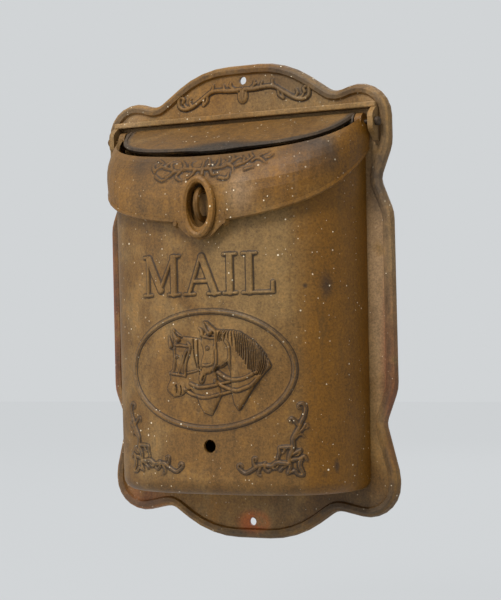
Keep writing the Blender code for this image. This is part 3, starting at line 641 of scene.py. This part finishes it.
cornerScroll = [
    (1.5, 0.8, [(-8, 16), (-6.8, 20.6), (-6.8, 25.6), (-5, 29.8), (-2.3, 34.8), (-0.6, 39.4), (1.3, 43.5),
                (2.5, 49.5), (1, 53), (-1.6, 52.8), (-2.5, 50.8), (-1.2, 49.6)]),
    (1.1, 0.7, [(-5, 29.8), (-1.2, 32.3), (0.8, 34.7), (2.3, 37.2), (3.8, 35.6), (2.4, 34.4)]),
    (1.1, 0.7, [(-1.6, 36), (-5.2, 39.9), (-7.2, 42.1), (-9, 40.9), (-8, 39.2)]),
    (1.2, 0.6, [(-6.4, 26.4), (-3.2, 28.9), (-0.9, 29.7), (0.8, 27.6)]),
    (1.3, 0.6, [(-6.7, 14.6), (-3.4, 16.7), (-1.5, 17.5), (-3.1, 14.2), (-5.6, 13.4)]),
    (1.3, 0.8, [(-7, 19.8), (-14.5, 19.8), (-17, 19), (-17.3, 15.2), (-18.4, 11)]),
    (1.0, 0.6, [(-13, 19.8), (-13.4, 16.6), (-15, 15.4)]),
    (1.5, 1.1, [(-8, 16), (-9.4, 13), (-9.9, 8.8), (-9.2, 4.6), (-10.9, 0)]),
    (1.3, 0.8, [(-9.1, 10.1), (-5.1, 10.4), (-1.7, 11.2), (0.7, 12.8), (2.5, 9.8)]),
    (1.3, 0.9, [(-1.7, 10.3), (-2.5, 5.7), (-1.1, 1.5), (-0.4, -1.5), (-3.8, -1), (-6.1, 1.6), (-9.3, 0.8)]),
    (1.6, 0.8, [(-9.9, 7.1), (-14.8, 7.6), (-18.9, 8), (-23.2, 5.5), (-28, 5.9), (-32.8, 5.9), (-37.3, 3.3),
                (-40.1, 1.6), (-44.2, -0.2), (-48.3, 1.9), (-50.6, 4.8), (-48.7, 6.6), (-46.9, 4.5)]),
    (1.1, 0.7, [(-35.9, 4.6), (-37.7, 8), (-37.6, 11.4), (-35.3, 11), (-35.8, 8.8)]),
    (1.1, 0.6, [(-32, 5), (-33.9, -0.5), (-31.7, -2.1)]),
    (1.2, 0.7, [(-28.4, 7.2), (-28.5, 3.4), (-25.9, 1.3), (-24.2, 3)]),
    (1.0, 0.6, [(-22.4, 4.2), (-20.3, 3.4), (-18.2, 5.9)]),
    (1.0, 0.6, [(-16.6, 2.1), (-14.5, 4.6), (-11.6, 5.4)]),
]


def makeCornerScrolls():
    place = scrollCorner
    for side, name in ((1, "rightCornerScroll"), (-1, "leftCornerScroll")):
        left, right = sorted(
            side * (place["side"] + reach) for reach in (-place["inwards"], place["outwards"]))
        relief = Relief(
            left, right, place["up"] - place["below"], place["up"] + place["above"], place["step"])
        for thick, thin, points in cornerScroll:
            line = [(side * (place["side"] + u), place["up"] + v) for u, v in points]
            relief.ridge(line, thick * place["thick"], thin * place["thin"], place["rise"])
        relief.wear[:] = place["wear"]
        dress(reliefPiece(name, relief, onBody, "box"), finishes["relief"])


# The oval with its pair of harnessed horses

ovalForm = {
    "up": -54.8,
    "halfWidth": 71.0,
    "halfHeight": 46.0,
    "bead": 2.0,
    "beadRise": 0.8,
    "step": 0.36,
    "margin": 3.5,
    "rearField": (1.5, 1.8),
    "frontField": (3.0, 2.2),
    "strapRise": 1.25,
    "hair": (0.75, 0.5, 1.6),
    "cutWidth": 1.2,
    "cutDepth": 1.4,
    "wear": 0.5,
    "beadWear": 1.3,
}

horseForms = {
    "rearField": [
        (-30, 32), (-22, 26.4), (-12, 25.3), (4, 22), (8, -6), (12, -20), (6, -31), (3, -36), (-4, -33.6),
        (-7.3, -28), (-10, -20.5), (-15.6, -15), (-20.4, -17.6), (-23.1, -19.9), (-27, -20.8), (-31.1, -21.3),
        (-35.7, -17.6), (-37.6, -14.9), (-36.4, -12.1), (-33.5, -7.6), (-34.2, -2.1), (-31.9, 0.6),
        (-31.3, 5.2), (-30.1, 8.8), (-30.8, 13.4), (-31.2, 17), (-29.5, 21), (-31, 27)],
    "frontField": [
        (-2.9, 37.9), (0.6, 37.8), (8.3, 31.4), (16.4, 31.2), (24.3, 30.5), (29.8, 28.9), (34.7, 25.7),
        (40.5, 22.1), (45.7, 16.4), (49.7, 10.7), (52.6, 4.6), (53.3, 2), (48.3, -2.9), (41.9, -10.5),
        (37.4, -16.5), (32.9, -23.6), (27.8, -30.8), (26.1, -31.8), (22.8, -26.7), (20.8, -17), (20.6, -3),
        (17.5, 6.1), (13.4, 3.1), (9.9, 2.6), (5.8, -0.6), (3.1, -3.2), (-0.4, -3.4), (-2.1, -8.6),
        (-4.2, -11.8), (-6.7, -10.4), (-7.7, -7.7), (-6, -3.2), (-4.9, 1.3), (-5.3, 4.9), (-4.2, 9.4),
        (-2.8, 13), (-3.2, 16.6), (-4.9, 21.2), (-3.7, 26.1), (-1.1, 29.7), (-2.5, 34.7)],
    "rearRidges": [
        (2.2, 0.7, [(-25.4, 24.4), (-28, 27.4), (-30.2, 32.3)]), (1.8, 0.6, [(-32.6, 18.6), (-34.9, 27)]),
        (1.0, 1.0, [(-16.8, 21.4), (-14.7, 18.6), (-15.4, 14.6), (-17, 10.5), (-18.7, 6), (-19.4, 0.5),
                    (-19.5, -4.9)]),
        (0.9, 0.9, [(-34.2, -2.1), (-30.1, -3), (-25.8, -3.5), (-19.5, -4.5)]),
        (0.9, 0.9, [(-29.4, 20.6), (-27.4, 19.7), (-22.1, 19.6), (-18.4, 18.7), (-15, 18.9)]),
        (1.1, 0.7, [(-18, 15), (-20.2, 10.5), (-21.9, 5.1), (-24.1, 0.6), (-25.8, -3.5)]),
        (1.2, 0.7, [(-29.4, 17), (-28.4, 8), (-29.6, 0)]),
        (1.3, 1.2, [(-15, -10.8), (-10.4, -12.6), (-7.3, -13.6), (0.3, -13.1), (7.5, -11.8), (20, -9)]),
        (1.3, 1.2, [(-20.8, -14.9), (-15.7, -18.5), (-10.1, -20.3), (-6.5, -21.2), (0.1, -21.7), (7.8, -19.9),
                    (20, -17)]),
        (0.8, 0.6, [(-17.4, -2.2), (-12.2, -1.3), (-6.5, 0)])],
    "rearDomes": [
        (-24.4, 7, 3.6, 10, 0.7, -18), (-30.6, -14.4, 5, 5, 0.8, 0), (-26.8, 10.8, 1.8, 1.6, 2.2, 0),
        (-23, -13.4, 3, 4.4, 0.6, 10), (1, -25, 7, 8, 0.7, 0)],
    "rearGrooves": [
        (0.8, 0.4, [(-28.2, -12.1), (-27.5, -14.4), (-27.8, -17.6)]),
        (0.7, 0.4, [(-24.2, -12.6), (-23.5, -15.8), (-24.7, -19.4)]),
        (0.8, 0.8, [(-32.9, -20), (-32.3, -21)]),
        (1.0, 0.5, [(-22.4, 25.4), (-25.8, 26.8), (-28.6, 30)]),
        (0.7, 0.4, [(-12, 24), (-11.4, 12), (-9, 2)]), (0.7, 0.4, [(-8, 23.4), (-7.8, 8), (-6.4, -4)])],
    "frontRidges": [
        (2.4, 0.7, [(3.8, 29), (0.6, 32.6), (-1.9, 38)]), (1.8, 0.7, [(-4.2, 27.6), (-5, 31), (-7.4, 32.9)]),
        (1.0, 1.0, [(8.6, 30), (8.7, 17.4), (9, 9.3), (8.4, 3.9), (5.8, -0.6)]),
        (0.9, 0.9, [(-4.9, 1.3), (-3.3, 3.6), (0.8, 3.5), (4.9, 4.4)]),
        (0.9, 0.9, [(-2.6, 26), (-0.2, 26.1), (3.9, 25.1), (8.4, 25)]),
        (0.9, 0.7, [(7.8, 18.3), (6.6, 13.8), (5.5, 7.5), (4.9, 4.4)]),
        (1.3, 0.8, [(14.6, 28), (15.6, 24.6), (19.5, 19.4), (20.4, 12.2), (20.3, 6.1), (20.6, -2.1)]),
        (1.0, 0.8, [(9.9, 2.6), (13.4, 3.1), (17.5, 6.1), (20.4, 9.1)]),
        (1.6, 1.4, [(9, -2), (16.6, -6.7), (23.3, -7.8), (30, -7.3), (35.5, -5.3), (42, -2)]),
        (1.6, 1.4, [(7.3, -8.7), (13, -12.8), (20.3, -15.4), (27, -16), (33.1, -14), (38.1, -12),
                    (42.4, -8)])],
    "frontDomes": [
        (4, 12, 4.2, 8.6, 0.9, 0), (-4.8, -5.6, 2.6, 5, 0.7, -14), (1.8, 16.9, 1.8, 1.6, 2.2, 0),
        (33, -1, 9, 17, 0.7, 16)],
    "frontGrooves": [
        (0.7, 0.4, [(-3.8, -8), (-2.4, -4.4)]), (1.0, 0.5, [(6.2, 28.7), (2.4, 32), (-0.6, 36.4)])],
    "maneGuides": [
        ((12.5, 30.8), (11, 27), (10.6, 22)), ((16.4, 30.9), (14.2, 27), (13.3, 22.6)),
        ((19.8, 30.3), (19.4, 27), (19.6, 23)), ((24.3, 30), (25.8, 22), (26.1, 14.2)),
        ((27.6, 28.6), (28.8, 20), (28.8, 11.1)), ((30.9, 27.5), (32.2, 17), (32, 7.9)),
        ((34.6, 24.9), (36.4, 12), (35.7, 0.8)), ((37.3, 23.3), (39, 12), (38.3, -0.3)),
        ((40.5, 21.3), (42, 10), (40.2, -3)), ((43.6, 18.1), (44, 8), (40.9, -4.4)),
        ((46.7, 14), (46, 4), (43.1, -3.9)), ((49.7, 9.9), (49, 3), (45.7, -3.9)),
        ((51.7, 6.6), (50.6, 1), (47.3, -2.9))],
}


def makeOval():
    form = ovalForm
    halfWidth = form["halfWidth"]
    halfHeight = form["halfHeight"]
    relief = Relief(
        -halfWidth - form["margin"], halfWidth + form["margin"], -halfHeight - form["margin"],
        halfHeight + form["margin"], form["step"])
    horses = horseForms
    for group in ("rearField", "frontField"):
        relief.field(horses[group], *form[group])
    for group in ("rearRidges", "frontRidges"):
        for thick, thin, points in horses[group]:
            relief.ridge(points, thick, thin, form["strapRise"])
    guides = horses["maneGuides"]
    for first, second in zip(guides, guides[1:]):
        for share in (0, 0.5):
            hair = [tuple(a + (b - a) * share for a, b in zip(p, q)) for p, q in zip(first, second)]
            relief.groove(hair, *form["hair"])
    for group in ("rearDomes", "frontDomes"):
        for dome in horses[group]:
            relief.dome(*dome)
    for group in ("rearGrooves", "frontGrooves"):
        for thick, thin, points in horses[group]:
            relief.groove(points, thick * form["cutWidth"], thin * form["cutWidth"], form["cutDepth"])
    turns = np.linspace(0, 2 * math.pi, 121)
    moulding = [(halfWidth * math.cos(t), halfHeight * math.sin(t)) for t in turns]
    relief.ridge(moulding, form["bead"], form["bead"], form["beadRise"], False)
    relief.wear[:] = form["wear"]
    relief.wear[relief.near(moulding)[0] < form["bead"]] = form["beadWear"]
    piece = reliefPiece(
        "ovalRelief", relief, lambda x, z: onBody(x, z + form["up"] * mm), "box")
    dress(piece, finishes["relief"])


# Raised serif letters, a plain word on the front

wordForm = {
    "halfWidth": 61,
    "low": 1,
    "high": 39.5,
    "step": 0.5,
    "rise": 1.5,
    "bevel": 0.9,
    "thick": 3.1,
    "thin": 1.7,
    "serif": 1.4,
    "thinBars": [
        ((-54, 5), (-54, 35)), ((-42, 9), (-30, 34)), ((-4.4, 35), (-15, 5.4)), ((-11, 15), (3.5, 15)),
        ((-10, 15), (2, 15)), ((56, 6), (56, 12.4))],
    "thickBars": [
        ((-53, 34), (-41.6, 9)), ((-29, 6), (-29, 34)), ((-3.6, 34), (7.5, 6)), ((21, 6), (21, 34)),
        ((37.5, 6), (37.5, 34))],
    "serifs": [
        ((-58, 5), (-50.4, 5)), ((-34, 5), (-24, 5)), ((-58, 35.4), (-52, 35.4)), ((-31, 35.4), (-24, 35.4)),
        ((-19, 5), (-10.5, 5)), ((1.8, 5), (12, 5)), ((15.6, 5), (26.4, 5)), ((15.6, 35.4), (26.4, 35.4)),
        ((32, 35.4), (43, 35.4)), ((32, 5), (56.6, 5))],
}


def makeWord():
    form = wordForm
    relief = Relief(-form["halfWidth"], form["halfWidth"], form["low"], form["high"], form["step"])
    for group, size in (("thinBars", "thin"), ("thickBars", "thick"), ("serifs", "serif")):
        for start, end in form[group]:
            relief.flatBar(start, end, form[size], form["rise"], form["bevel"])
    dress(reliefPiece("mailWord", relief, onBody, "box"), finishes["relief"])


# Scrolls on the back plate and on top of the lid

plateScroll = {
    "up": 174.5,
    "halfWidth": 65,
    "low": -15,
    "high": 9.5,
    "step": 0.5,
    "width": 1.25,
    "cutDepth": 0.8,
    "lines": [
        (1.6, 1.2, [(2.7, 0.4), (9, 0), (16, 0.6), (23.3, 1.2), (29.6, 0.2), (34.7, -2.8), (40.7, -6.6),
                    (47.2, -10.4), (54.1, -12), (59.1, -9.9), (60.3, -6.2), (60, -2.9), (57.9, -1.5),
                    (55.4, -3.3), (56.4, -6.1)]),
        (1.2, 0.8, [(3.4, -1), (7.9, 0.9), (10.6, 3.8), (11.1, 6.6)]),
        (1.3, 0.8, [(28.6, 1), (27.4, 3.4), (27.2, 6.3)]),
        (1.3, 0.8, [(33, -2.2), (33.4, -6.8), (37, -9.8)]),
        (1.2, 0.8, [(36, -5), (37.4, -9.6)]),
        (1.2, 0.8, [(47.2, -10.4), (49.9, -6.8), (48.6, -3.6)]),
        (1.1, 0.7, [(50.5, -10.6), (53.6, -9.8), (55, -7.6)]),
        (1.1, 0.7, [(17, 1.4), (17.8, 5.5)]),
        (1.2, 0.7, [(8, 1.1), (12.4, 4.6)]),
    ],
    "drop": [(0, -4.6, 4.8, 6.8, 1.9, 0)],
    "dropCuts": [
        (0.7, 0.4, [(0, 1), (-0.4, -5), (0, -10)]),
        (0.6, 0.4, [(2.6, -1), (2, -7)]),
        (0.6, 0.4, [(-2.6, -1), (-2, -7)]),
    ],
}

# Down the lid, a place is a share of its slant
lidScroll = {
    "left": -48,
    "right": 64,
    "highest": 0.05,
    "lowest": 0.54,
    "step": 0.5,
    "thick": 1.7,
    "thin": 1.6,
    "rise": 0.9,
    "lines": [
        (1.0, 0.7, [(0, 0.34), (-3, 0.33), (-10, 0.32), (-16, 0.31), (-20, 0.35), (-26, 0.32), (-33, 0.28),
                    (-37, 0.26), (-41, 0.29), (-43, 0.35)]),
        (1.0, 0.7, [(0, 0.33), (12, 0.33), (19, 0.32), (24, 0.27), (27, 0.22), (32, 0.14)]),
        (1.0, 0.6, [(30, 0.32), (37, 0.28), (41.5, 0.21), (40, 0.15), (38, 0.09)]),
        (0.9, 0.6, [(43, 0.27), (49, 0.18), (54, 0.13)]),
        (0.8, 0.5, [(54, 0.25), (57, 0.24), (58, 0.19)]),
        (0.9, 0.6, [(-19, 0.36), (-21.5, 0.43), (-17, 0.49)]),
        (0.9, 0.6, [(17, 0.48), (24, 0.5), (25, 0.42)]),
        (1.0, 0.7, [(1.6, 0.42), (0.5, 0.28), (0, 0.16)]),
        (0.8, 0.5, [(5, 0.27), (10, 0.24), (10, 0.19)]),
        (0.8, 0.5, [(-43, 0.12), (-37, 0.19), (-39, 0.23)]),
        (0.8, 0.5, [(-41, 0.42), (-35, 0.48), (-30, 0.45)]),
        (0.8, 0.5, [(-10, 0.3), (-12, 0.2), (-8, 0.14)]),
        (0.8, 0.5, [(-27, 0.3), (-29, 0.2), (-24, 0.15)]),
        (0.7, 0.5, [(38, 0.4), (44, 0.38)]),
        (0.7, 0.5, [(18, 0.3), (21, 0.2), (17, 0.14)]),
        (1.1, 0.4, [(-34, 0.27), (-31, 0.18), (-27, 0.11)]),
        (1.1, 0.4, [(-5, 0.33), (-8, 0.43), (-13, 0.46)]),
        (1.1, 0.4, [(8, 0.34), (11, 0.43), (16, 0.42)]),
        (1.1, 0.4, [(22, 0.28), (27, 0.33), (28, 0.41)]),
        (1.1, 0.4, [(26, 0.22), (25, 0.14), (22, 0.09)]),
        (1.1, 0.4, [(-24, 0.34), (-28, 0.42), (-33, 0.43)]),
        (1.0, 0.4, [(36, 0.29), (35, 0.2), (32, 0.17)]),
        (1.0, 0.4, [(46, 0.23), (50, 0.26), (54, 0.33)]),
        (1.0, 0.4, [(-43, 0.33), (-46, 0.25), (-44, 0.18)]),
        (1.0, 0.4, [(4, 0.33), (6, 0.24), (3, 0.12)]),
        (1.0, 0.4, [(-15, 0.31), (-17, 0.22), (-21, 0.13)]),
        (1.0, 0.4, [(13, 0.33), (14, 0.24), (12, 0.1)]),
    ],
}


def makeScrolls():
    form = plateScroll
    relief = Relief(-form["halfWidth"], form["halfWidth"], form["low"], form["high"], form["step"])
    for side in (1, -1):
        for thick, thin, points in form["lines"]:
            relief.ridge([(side * u, v) for u, v in points], thick * form["width"], thin * form["width"])
    for dome in form["drop"]:
        relief.dome(*dome)
    for thick, thin, points in form["dropCuts"]:
        relief.groove(points, thick, thin, form["cutDepth"])
    dress(reliefPiece(
        "plateScroll", relief, lambda x, z: onPlate(x, z + form["up"] * mm), "box"), finishes["plateRelief"])
    form = lidScroll
    slant = lidForm["slant"] / mm
    relief = Relief(
        form["left"], form["right"], -form["lowest"] * slant, -form["highest"] * slant, form["step"])
    for thick, thin, points in form["lines"]:
        line = [(u, -down * slant) for u, down in points]
        relief.ridge(line, thick * form["thick"], thin * form["thin"], form["rise"])
    dress(reliefPiece("lidScroll", relief, onLid, "lid"), finishes["lidRelief"])


# Camera: its lens is a choice, and its place and turn are fitted to the photograph for that lens

cameraFacts = {
    "place": (0.5738, -1.1673, -0.0209),
    "turn": math.radians(26.17),
    "tilt": math.radians(-0.94),
    "roll": math.radians(-1.32),
    "focalPixels": 1567.0,
    "tallPixels": 600.0,
    "sensor": 36.0,
    "farEnd": 20,
}


def makeCamera():
    facts = cameraFacts
    back = Vector((
        math.sin(facts["turn"]) * math.cos(facts["tilt"]),
        -math.cos(facts["turn"]) * math.cos(facts["tilt"]),
        math.sin(facts["tilt"])))
    right = (-back).cross(Vector((0, 0, 1))).normalized()
    up = right.cross(-back)
    rolledRight = math.cos(facts["roll"]) * right + math.sin(facts["roll"]) * up
    rolledUp = -math.sin(facts["roll"]) * right + math.cos(facts["roll"]) * up
    data = bpy.data.cameras.new("photoCamera")
    data.sensor_width = facts["sensor"]
    data.lens = facts["focalPixels"] / facts["tallPixels"] * facts["sensor"]
    data.clip_end = facts["farEnd"]
    camera = bpy.data.objects.new("photoCamera", data)
    turn = Matrix((rolledRight, rolledUp, back)).transposed()
    camera.matrix_world = Matrix.Translation(facts["place"]) @ turn.to_4x4()
    scene.collection.objects.link(camera)
    scene.camera = camera


makeCamera()
print("camera placed")


# Plain pale room with four lamps: key, fill and top in front of the box, and one behind it

roomFacts = {
    "paper": rgb(209, 212, 214),
    "floorZ": -0.30,
    "floorHalf": 4,
    "floorRough": 0.9,
    "floorGlow": 0.94,
    "aim": (0, -0.04, 0),
    "worldLight": 0.50,
    "lamps": (
        ("keyLamp", (-0.10, -1.5, 1.6), 0.6, 36),
        ("fillLamp", (-1.5, -1.4, 0.5), 1.4, 11),
        ("topLamp", (0.1, -0.3, 1.9), 1.2, 9),
        ("backLamp", (-0.2, 1.8, 0.9), 1.4, 14),
    ),
}


def makeRoom():
    world = bpy.data.worlds.new("paleRoom")
    scene.world = world
    world.use_nodes = True
    tree = world.node_tree
    shine = tree.nodes["Background"]
    shine.inputs["Color"].default_value = roomFacts["paper"]
    shine.inputs["Strength"].default_value = roomFacts["worldLight"]
    seen = tree.nodes.new("ShaderNodeBackground")
    seen.inputs["Color"].default_value = roomFacts["paper"]
    seen.inputs["Strength"].default_value = 1.0
    path = tree.nodes.new("ShaderNodeLightPath")
    straight = tree.nodes.new("ShaderNodeMath")
    straight.operation = "MAXIMUM"
    tree.links.new(path.outputs["Is Camera Ray"], straight.inputs[0])
    tree.links.new(path.outputs["Is Transmission Ray"], straight.inputs[1])
    mirrored = tree.nodes.new("ShaderNodeMath")
    mirrored.operation = "MAXIMUM"
    tree.links.new(straight.outputs[0], mirrored.inputs[0])
    tree.links.new(path.outputs["Is Glossy Ray"], mirrored.inputs[1])
    blend = tree.nodes.new("ShaderNodeMixShader")
    tree.links.new(mirrored.outputs[0], blend.inputs[0])
    tree.links.new(shine.outputs[0], blend.inputs[1])
    tree.links.new(seen.outputs[0], blend.inputs[2])
    tree.links.new(blend.outputs[0], tree.nodes["World Output"].inputs["Surface"])

    bm = bmesh.new()
    bmesh.ops.create_grid(bm, x_segments=1, y_segments=1, size=roomFacts["floorHalf"])
    bmesh.ops.translate(bm, verts=bm.verts, vec=(0, 0, roomFacts["floorZ"]))
    mesh = bpy.data.meshes.new("paleFloor")
    bm.to_mesh(mesh)
    bm.free()
    floor = bpy.data.objects.new("paleFloor", mesh)
    scene.collection.objects.link(floor)
    m = MaterialMaker("palePaper")
    m.set("Base Color", roomFacts["paper"])
    m.set("Roughness", roomFacts["floorRough"])
    path = m.node("LightPath", output="Is Camera Ray")
    glow = m.node("Emission", {}, {"Color": roomFacts["paper"], "Strength": 1.0})
    plain = Value(m, m.shader.outputs[0])
    both = m.node("MixShader", {}, {0: path * roomFacts["floorGlow"], 1: plain, 2: glow})
    m.feed(m.tree.nodes["Material Output"].inputs["Surface"], both)
    floor.data.materials.append(m.material)

    aim = Vector(roomFacts["aim"])
    for name, place, size, watts in roomFacts["lamps"]:
        data = bpy.data.lights.new(name, "AREA")
        data.size = size
        data.energy = watts
        lamp = bpy.data.objects.new(name, data)
        lamp.location = place
        lamp.rotation_euler = (aim - Vector(place)).to_track_quat("-Z", "Y").to_euler()
        scene.collection.objects.link(lamp)


makeRoom()
print("room and lamps made")

# A spot: centre, radius, soft edge, stretch, tone and share, with lengths in metres
bodySpots = (
    # a paler grey-brown worn patch, and a painted sheen on the front
    ((0.045, -0.078, 0.030), 0.034, 0.022, (1, 1, 0.55), "greyBrown", 0.75),
    ((0.080, -0.066, 0.009), 0.0022, 0.0010, (1, 1, 1), "dark", 0.95),
    ((0.093, -0.055, 0.009), 0.0052, 0.0042, (1, 1, 0.6), "dark", 0.8),
    ((0.097, -0.050, -0.131), 0.0026, 0.0016, (1, 1, 0.5), "dark", 0.95),
    ((0.091, -0.058, -0.137), 0.0022, 0.0014, (1, 1, 0.7), "dark", 0.9),
    ((0.0, -0.078, -0.149), 0.10, 0.03, (1, 1, 14), "sideDark", 0.45),
)
nodeLooks = {
    "back_plate": {"rimCrest": (0.0064, 0.0088), "shade": 1.02, "grey": 0.75, "specks": 0.7, "spots": (
        # pale dust, with painted light that brightens the strip beside the box
        ((0.117, -0.005, 0.035), 0.011, 0.008, (1, 1, 0.10), "pale", 0.8),
        # pale dust, with painted light on the plate's upper left
        ((-0.106, -0.005, 0.155), 0.016, 0.010, (1, 1, 1), "pale", 0.4),
        ((0.030, -0.005, 0.160), 0.018, 0.012, (0.5, 1, 1), "greyBrown", 0.6),
        ((0.016, -0.007, 0.193), 0.030, 0.016, (1, 1, 4), "side", 0.6),
        ((0.119, -0.007, 0.092), 0.008, 0.004, (1, 1, 0.3), "blueDark", 0.7),
        ((-0.128, -0.004, -0.020), 0.007, 0.004, (1, 1, 0.07), "redRust", 0.8),
        ((0.124, -0.004, -0.060), 0.006, 0.004, (1, 1, 0.10), "redRust", 0.6),
        ((0.001, -0.005, -0.1835), 0.0090, 0.0045, (0.7, 1, 1), "orangeRust", 0.85),
        # painted shadow of the box on the plate below it
        ((0.060, -0.005, -0.165), 0.022, 0.016, (0.5, 1, 1), "dark", 0.5),
        ((-0.050, -0.005, -0.172), 0.022, 0.014, (0.5, 1, 1), "side", 0.5),
        # painted shadow of the box on the plate below it
        ((0.102, -0.005, -0.166), 0.026, 0.016, (1, 1, 1), "dark", 0.5),
        ((-0.102, -0.005, -0.166), 0.020, 0.014, (1, 1, 1), "redRust", 0.45),
        ((-0.060, -0.008, 0.178), 0.030, 0.014, (0.6, 1, 1.4), "side", 0.5),
        ((0.062, -0.008, 0.180), 0.030, 0.014, (0.6, 1, 1.6), "blueDark", 0.4),
        ((0.0, -0.008, -0.1955), 0.0045, 0.003, (0.07, 0.3, 1), "dark", 0.7))},
    "lid": {"shade": 0.9, "grey": 0.35, "specks": 1, "sideFrom": 0.094, "spots": (
        ((0.078, -0.072, 0.107), 0.0130, 0.007, (0.7, 1, 1.2), "blueDark", 0.90),
        ((0.089, -0.064, 0.110), 0.0175, 0.006, (0.75, 1, 1), "blueDark", 0.95),
        ((-0.056, -0.074, 0.109), 0.010, 0.007, (0.8, 1, 1), "blueDark", 0.7),
        # painted shade under the flap's front edge, along the scroll band
        ((-0.004, -0.074, 0.107), 0.030, 0.018, (0.5, 1, 1.9), "sideDark", 0.6),
        ((0.074, -0.070, 0.092), 0.026, 0.018, (0.7, 1, 1), "side", 0.7),
        # painted sheen, a pale highlight on the lid's lower front
        ((0.036, -0.088, 0.084), 0.010, 0.008, (1, 1, 0.7), "pale", 0.6),
        ((-0.085, -0.072, 0.085), 0.022, 0.014, (1, 1, 1), "ochre", 0.6),
        ((0.0, -0.094, 0.076), 0.022, 0.008, (1, 1, 1), "ochre", 0.75))},
    "mail_flap": {"bow": (0.1035, 0.0635, 3.2), "shade": 0.82, "grey": 0.35, "specks": 1, "spots": (
        ((0.0, -0.075, 0.113), 0.0125, 0.0045, (0.12, 1, 1), "dark", 0.75),
        ((0.004, -0.070, 0.119), 0.019, 0.007, (0.6, 0.3, 2.2), "blueDark", 0.95),
        ((0.034, -0.070, 0.118), 0.014, 0.006, (0.6, 0.3, 2.2), "dark", 0.8),
        ((0.105, -0.052, 0.135), 0.012, 0.006, (0.8, 0.4, 1), "blueDark", 0.8))},
    "padlock_staple": {"grey": 0.1, "specks": 0.3, "metal": 0.3, "spots": (
        ((0.0, -0.085, 0.075), 0.030, 0.004, (1, 1, 1), "sideDark", 0.7),)},
    "hinge_rod": {"grey": 0.1, "specks": 0.3, "metal": 0.4, "spots": (
        ((0.137, -0.010, 0.132), 0.05, 0.02, (0.2, 1, 1), "blueDark", 0.9),)},
}
bodyLook = {"shade": 0.95, "grey": 0.6, "sideFrom": 0.066, "spots": bodySpots}
finishes = {
    "body": ironMaterial("castBodyFinish", bodyLook),
    "relief": ironMaterial("reliefFinish", {**bodyLook, "wornFrom": 0.3}),
    "plateRelief": ironMaterial("plateReliefFinish", {**nodeLooks["back_plate"], "wornFrom": 0.3}),
    "lidRelief": ironMaterial("lidReliefFinish", {**nodeLooks["lid"], "wornFrom": 0.3}),
}
screwLook = {"grey": 0.9, "specks": 0.2, "metal": 0.5, "spots": (
    ((0.0, 0.0, 0.0), 0.3, 0.02, (1, 1, 1), "blueDark", 0.75),)}
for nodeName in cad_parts:
    if nodeName.startswith("box_screw"):
        nodeLooks[nodeName] = screwLook
for nodeName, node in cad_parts.items():
    dress(node, ironMaterial(nodeName + "Finish", nodeLooks.get(nodeName, {})))
print("solids dressed")
dress(makeBodyShell(), finishes["body"])
print("box front made")
makeCornerScrolls()
makeOval()
makeWord()
makeScrolls()
print("relief raised")
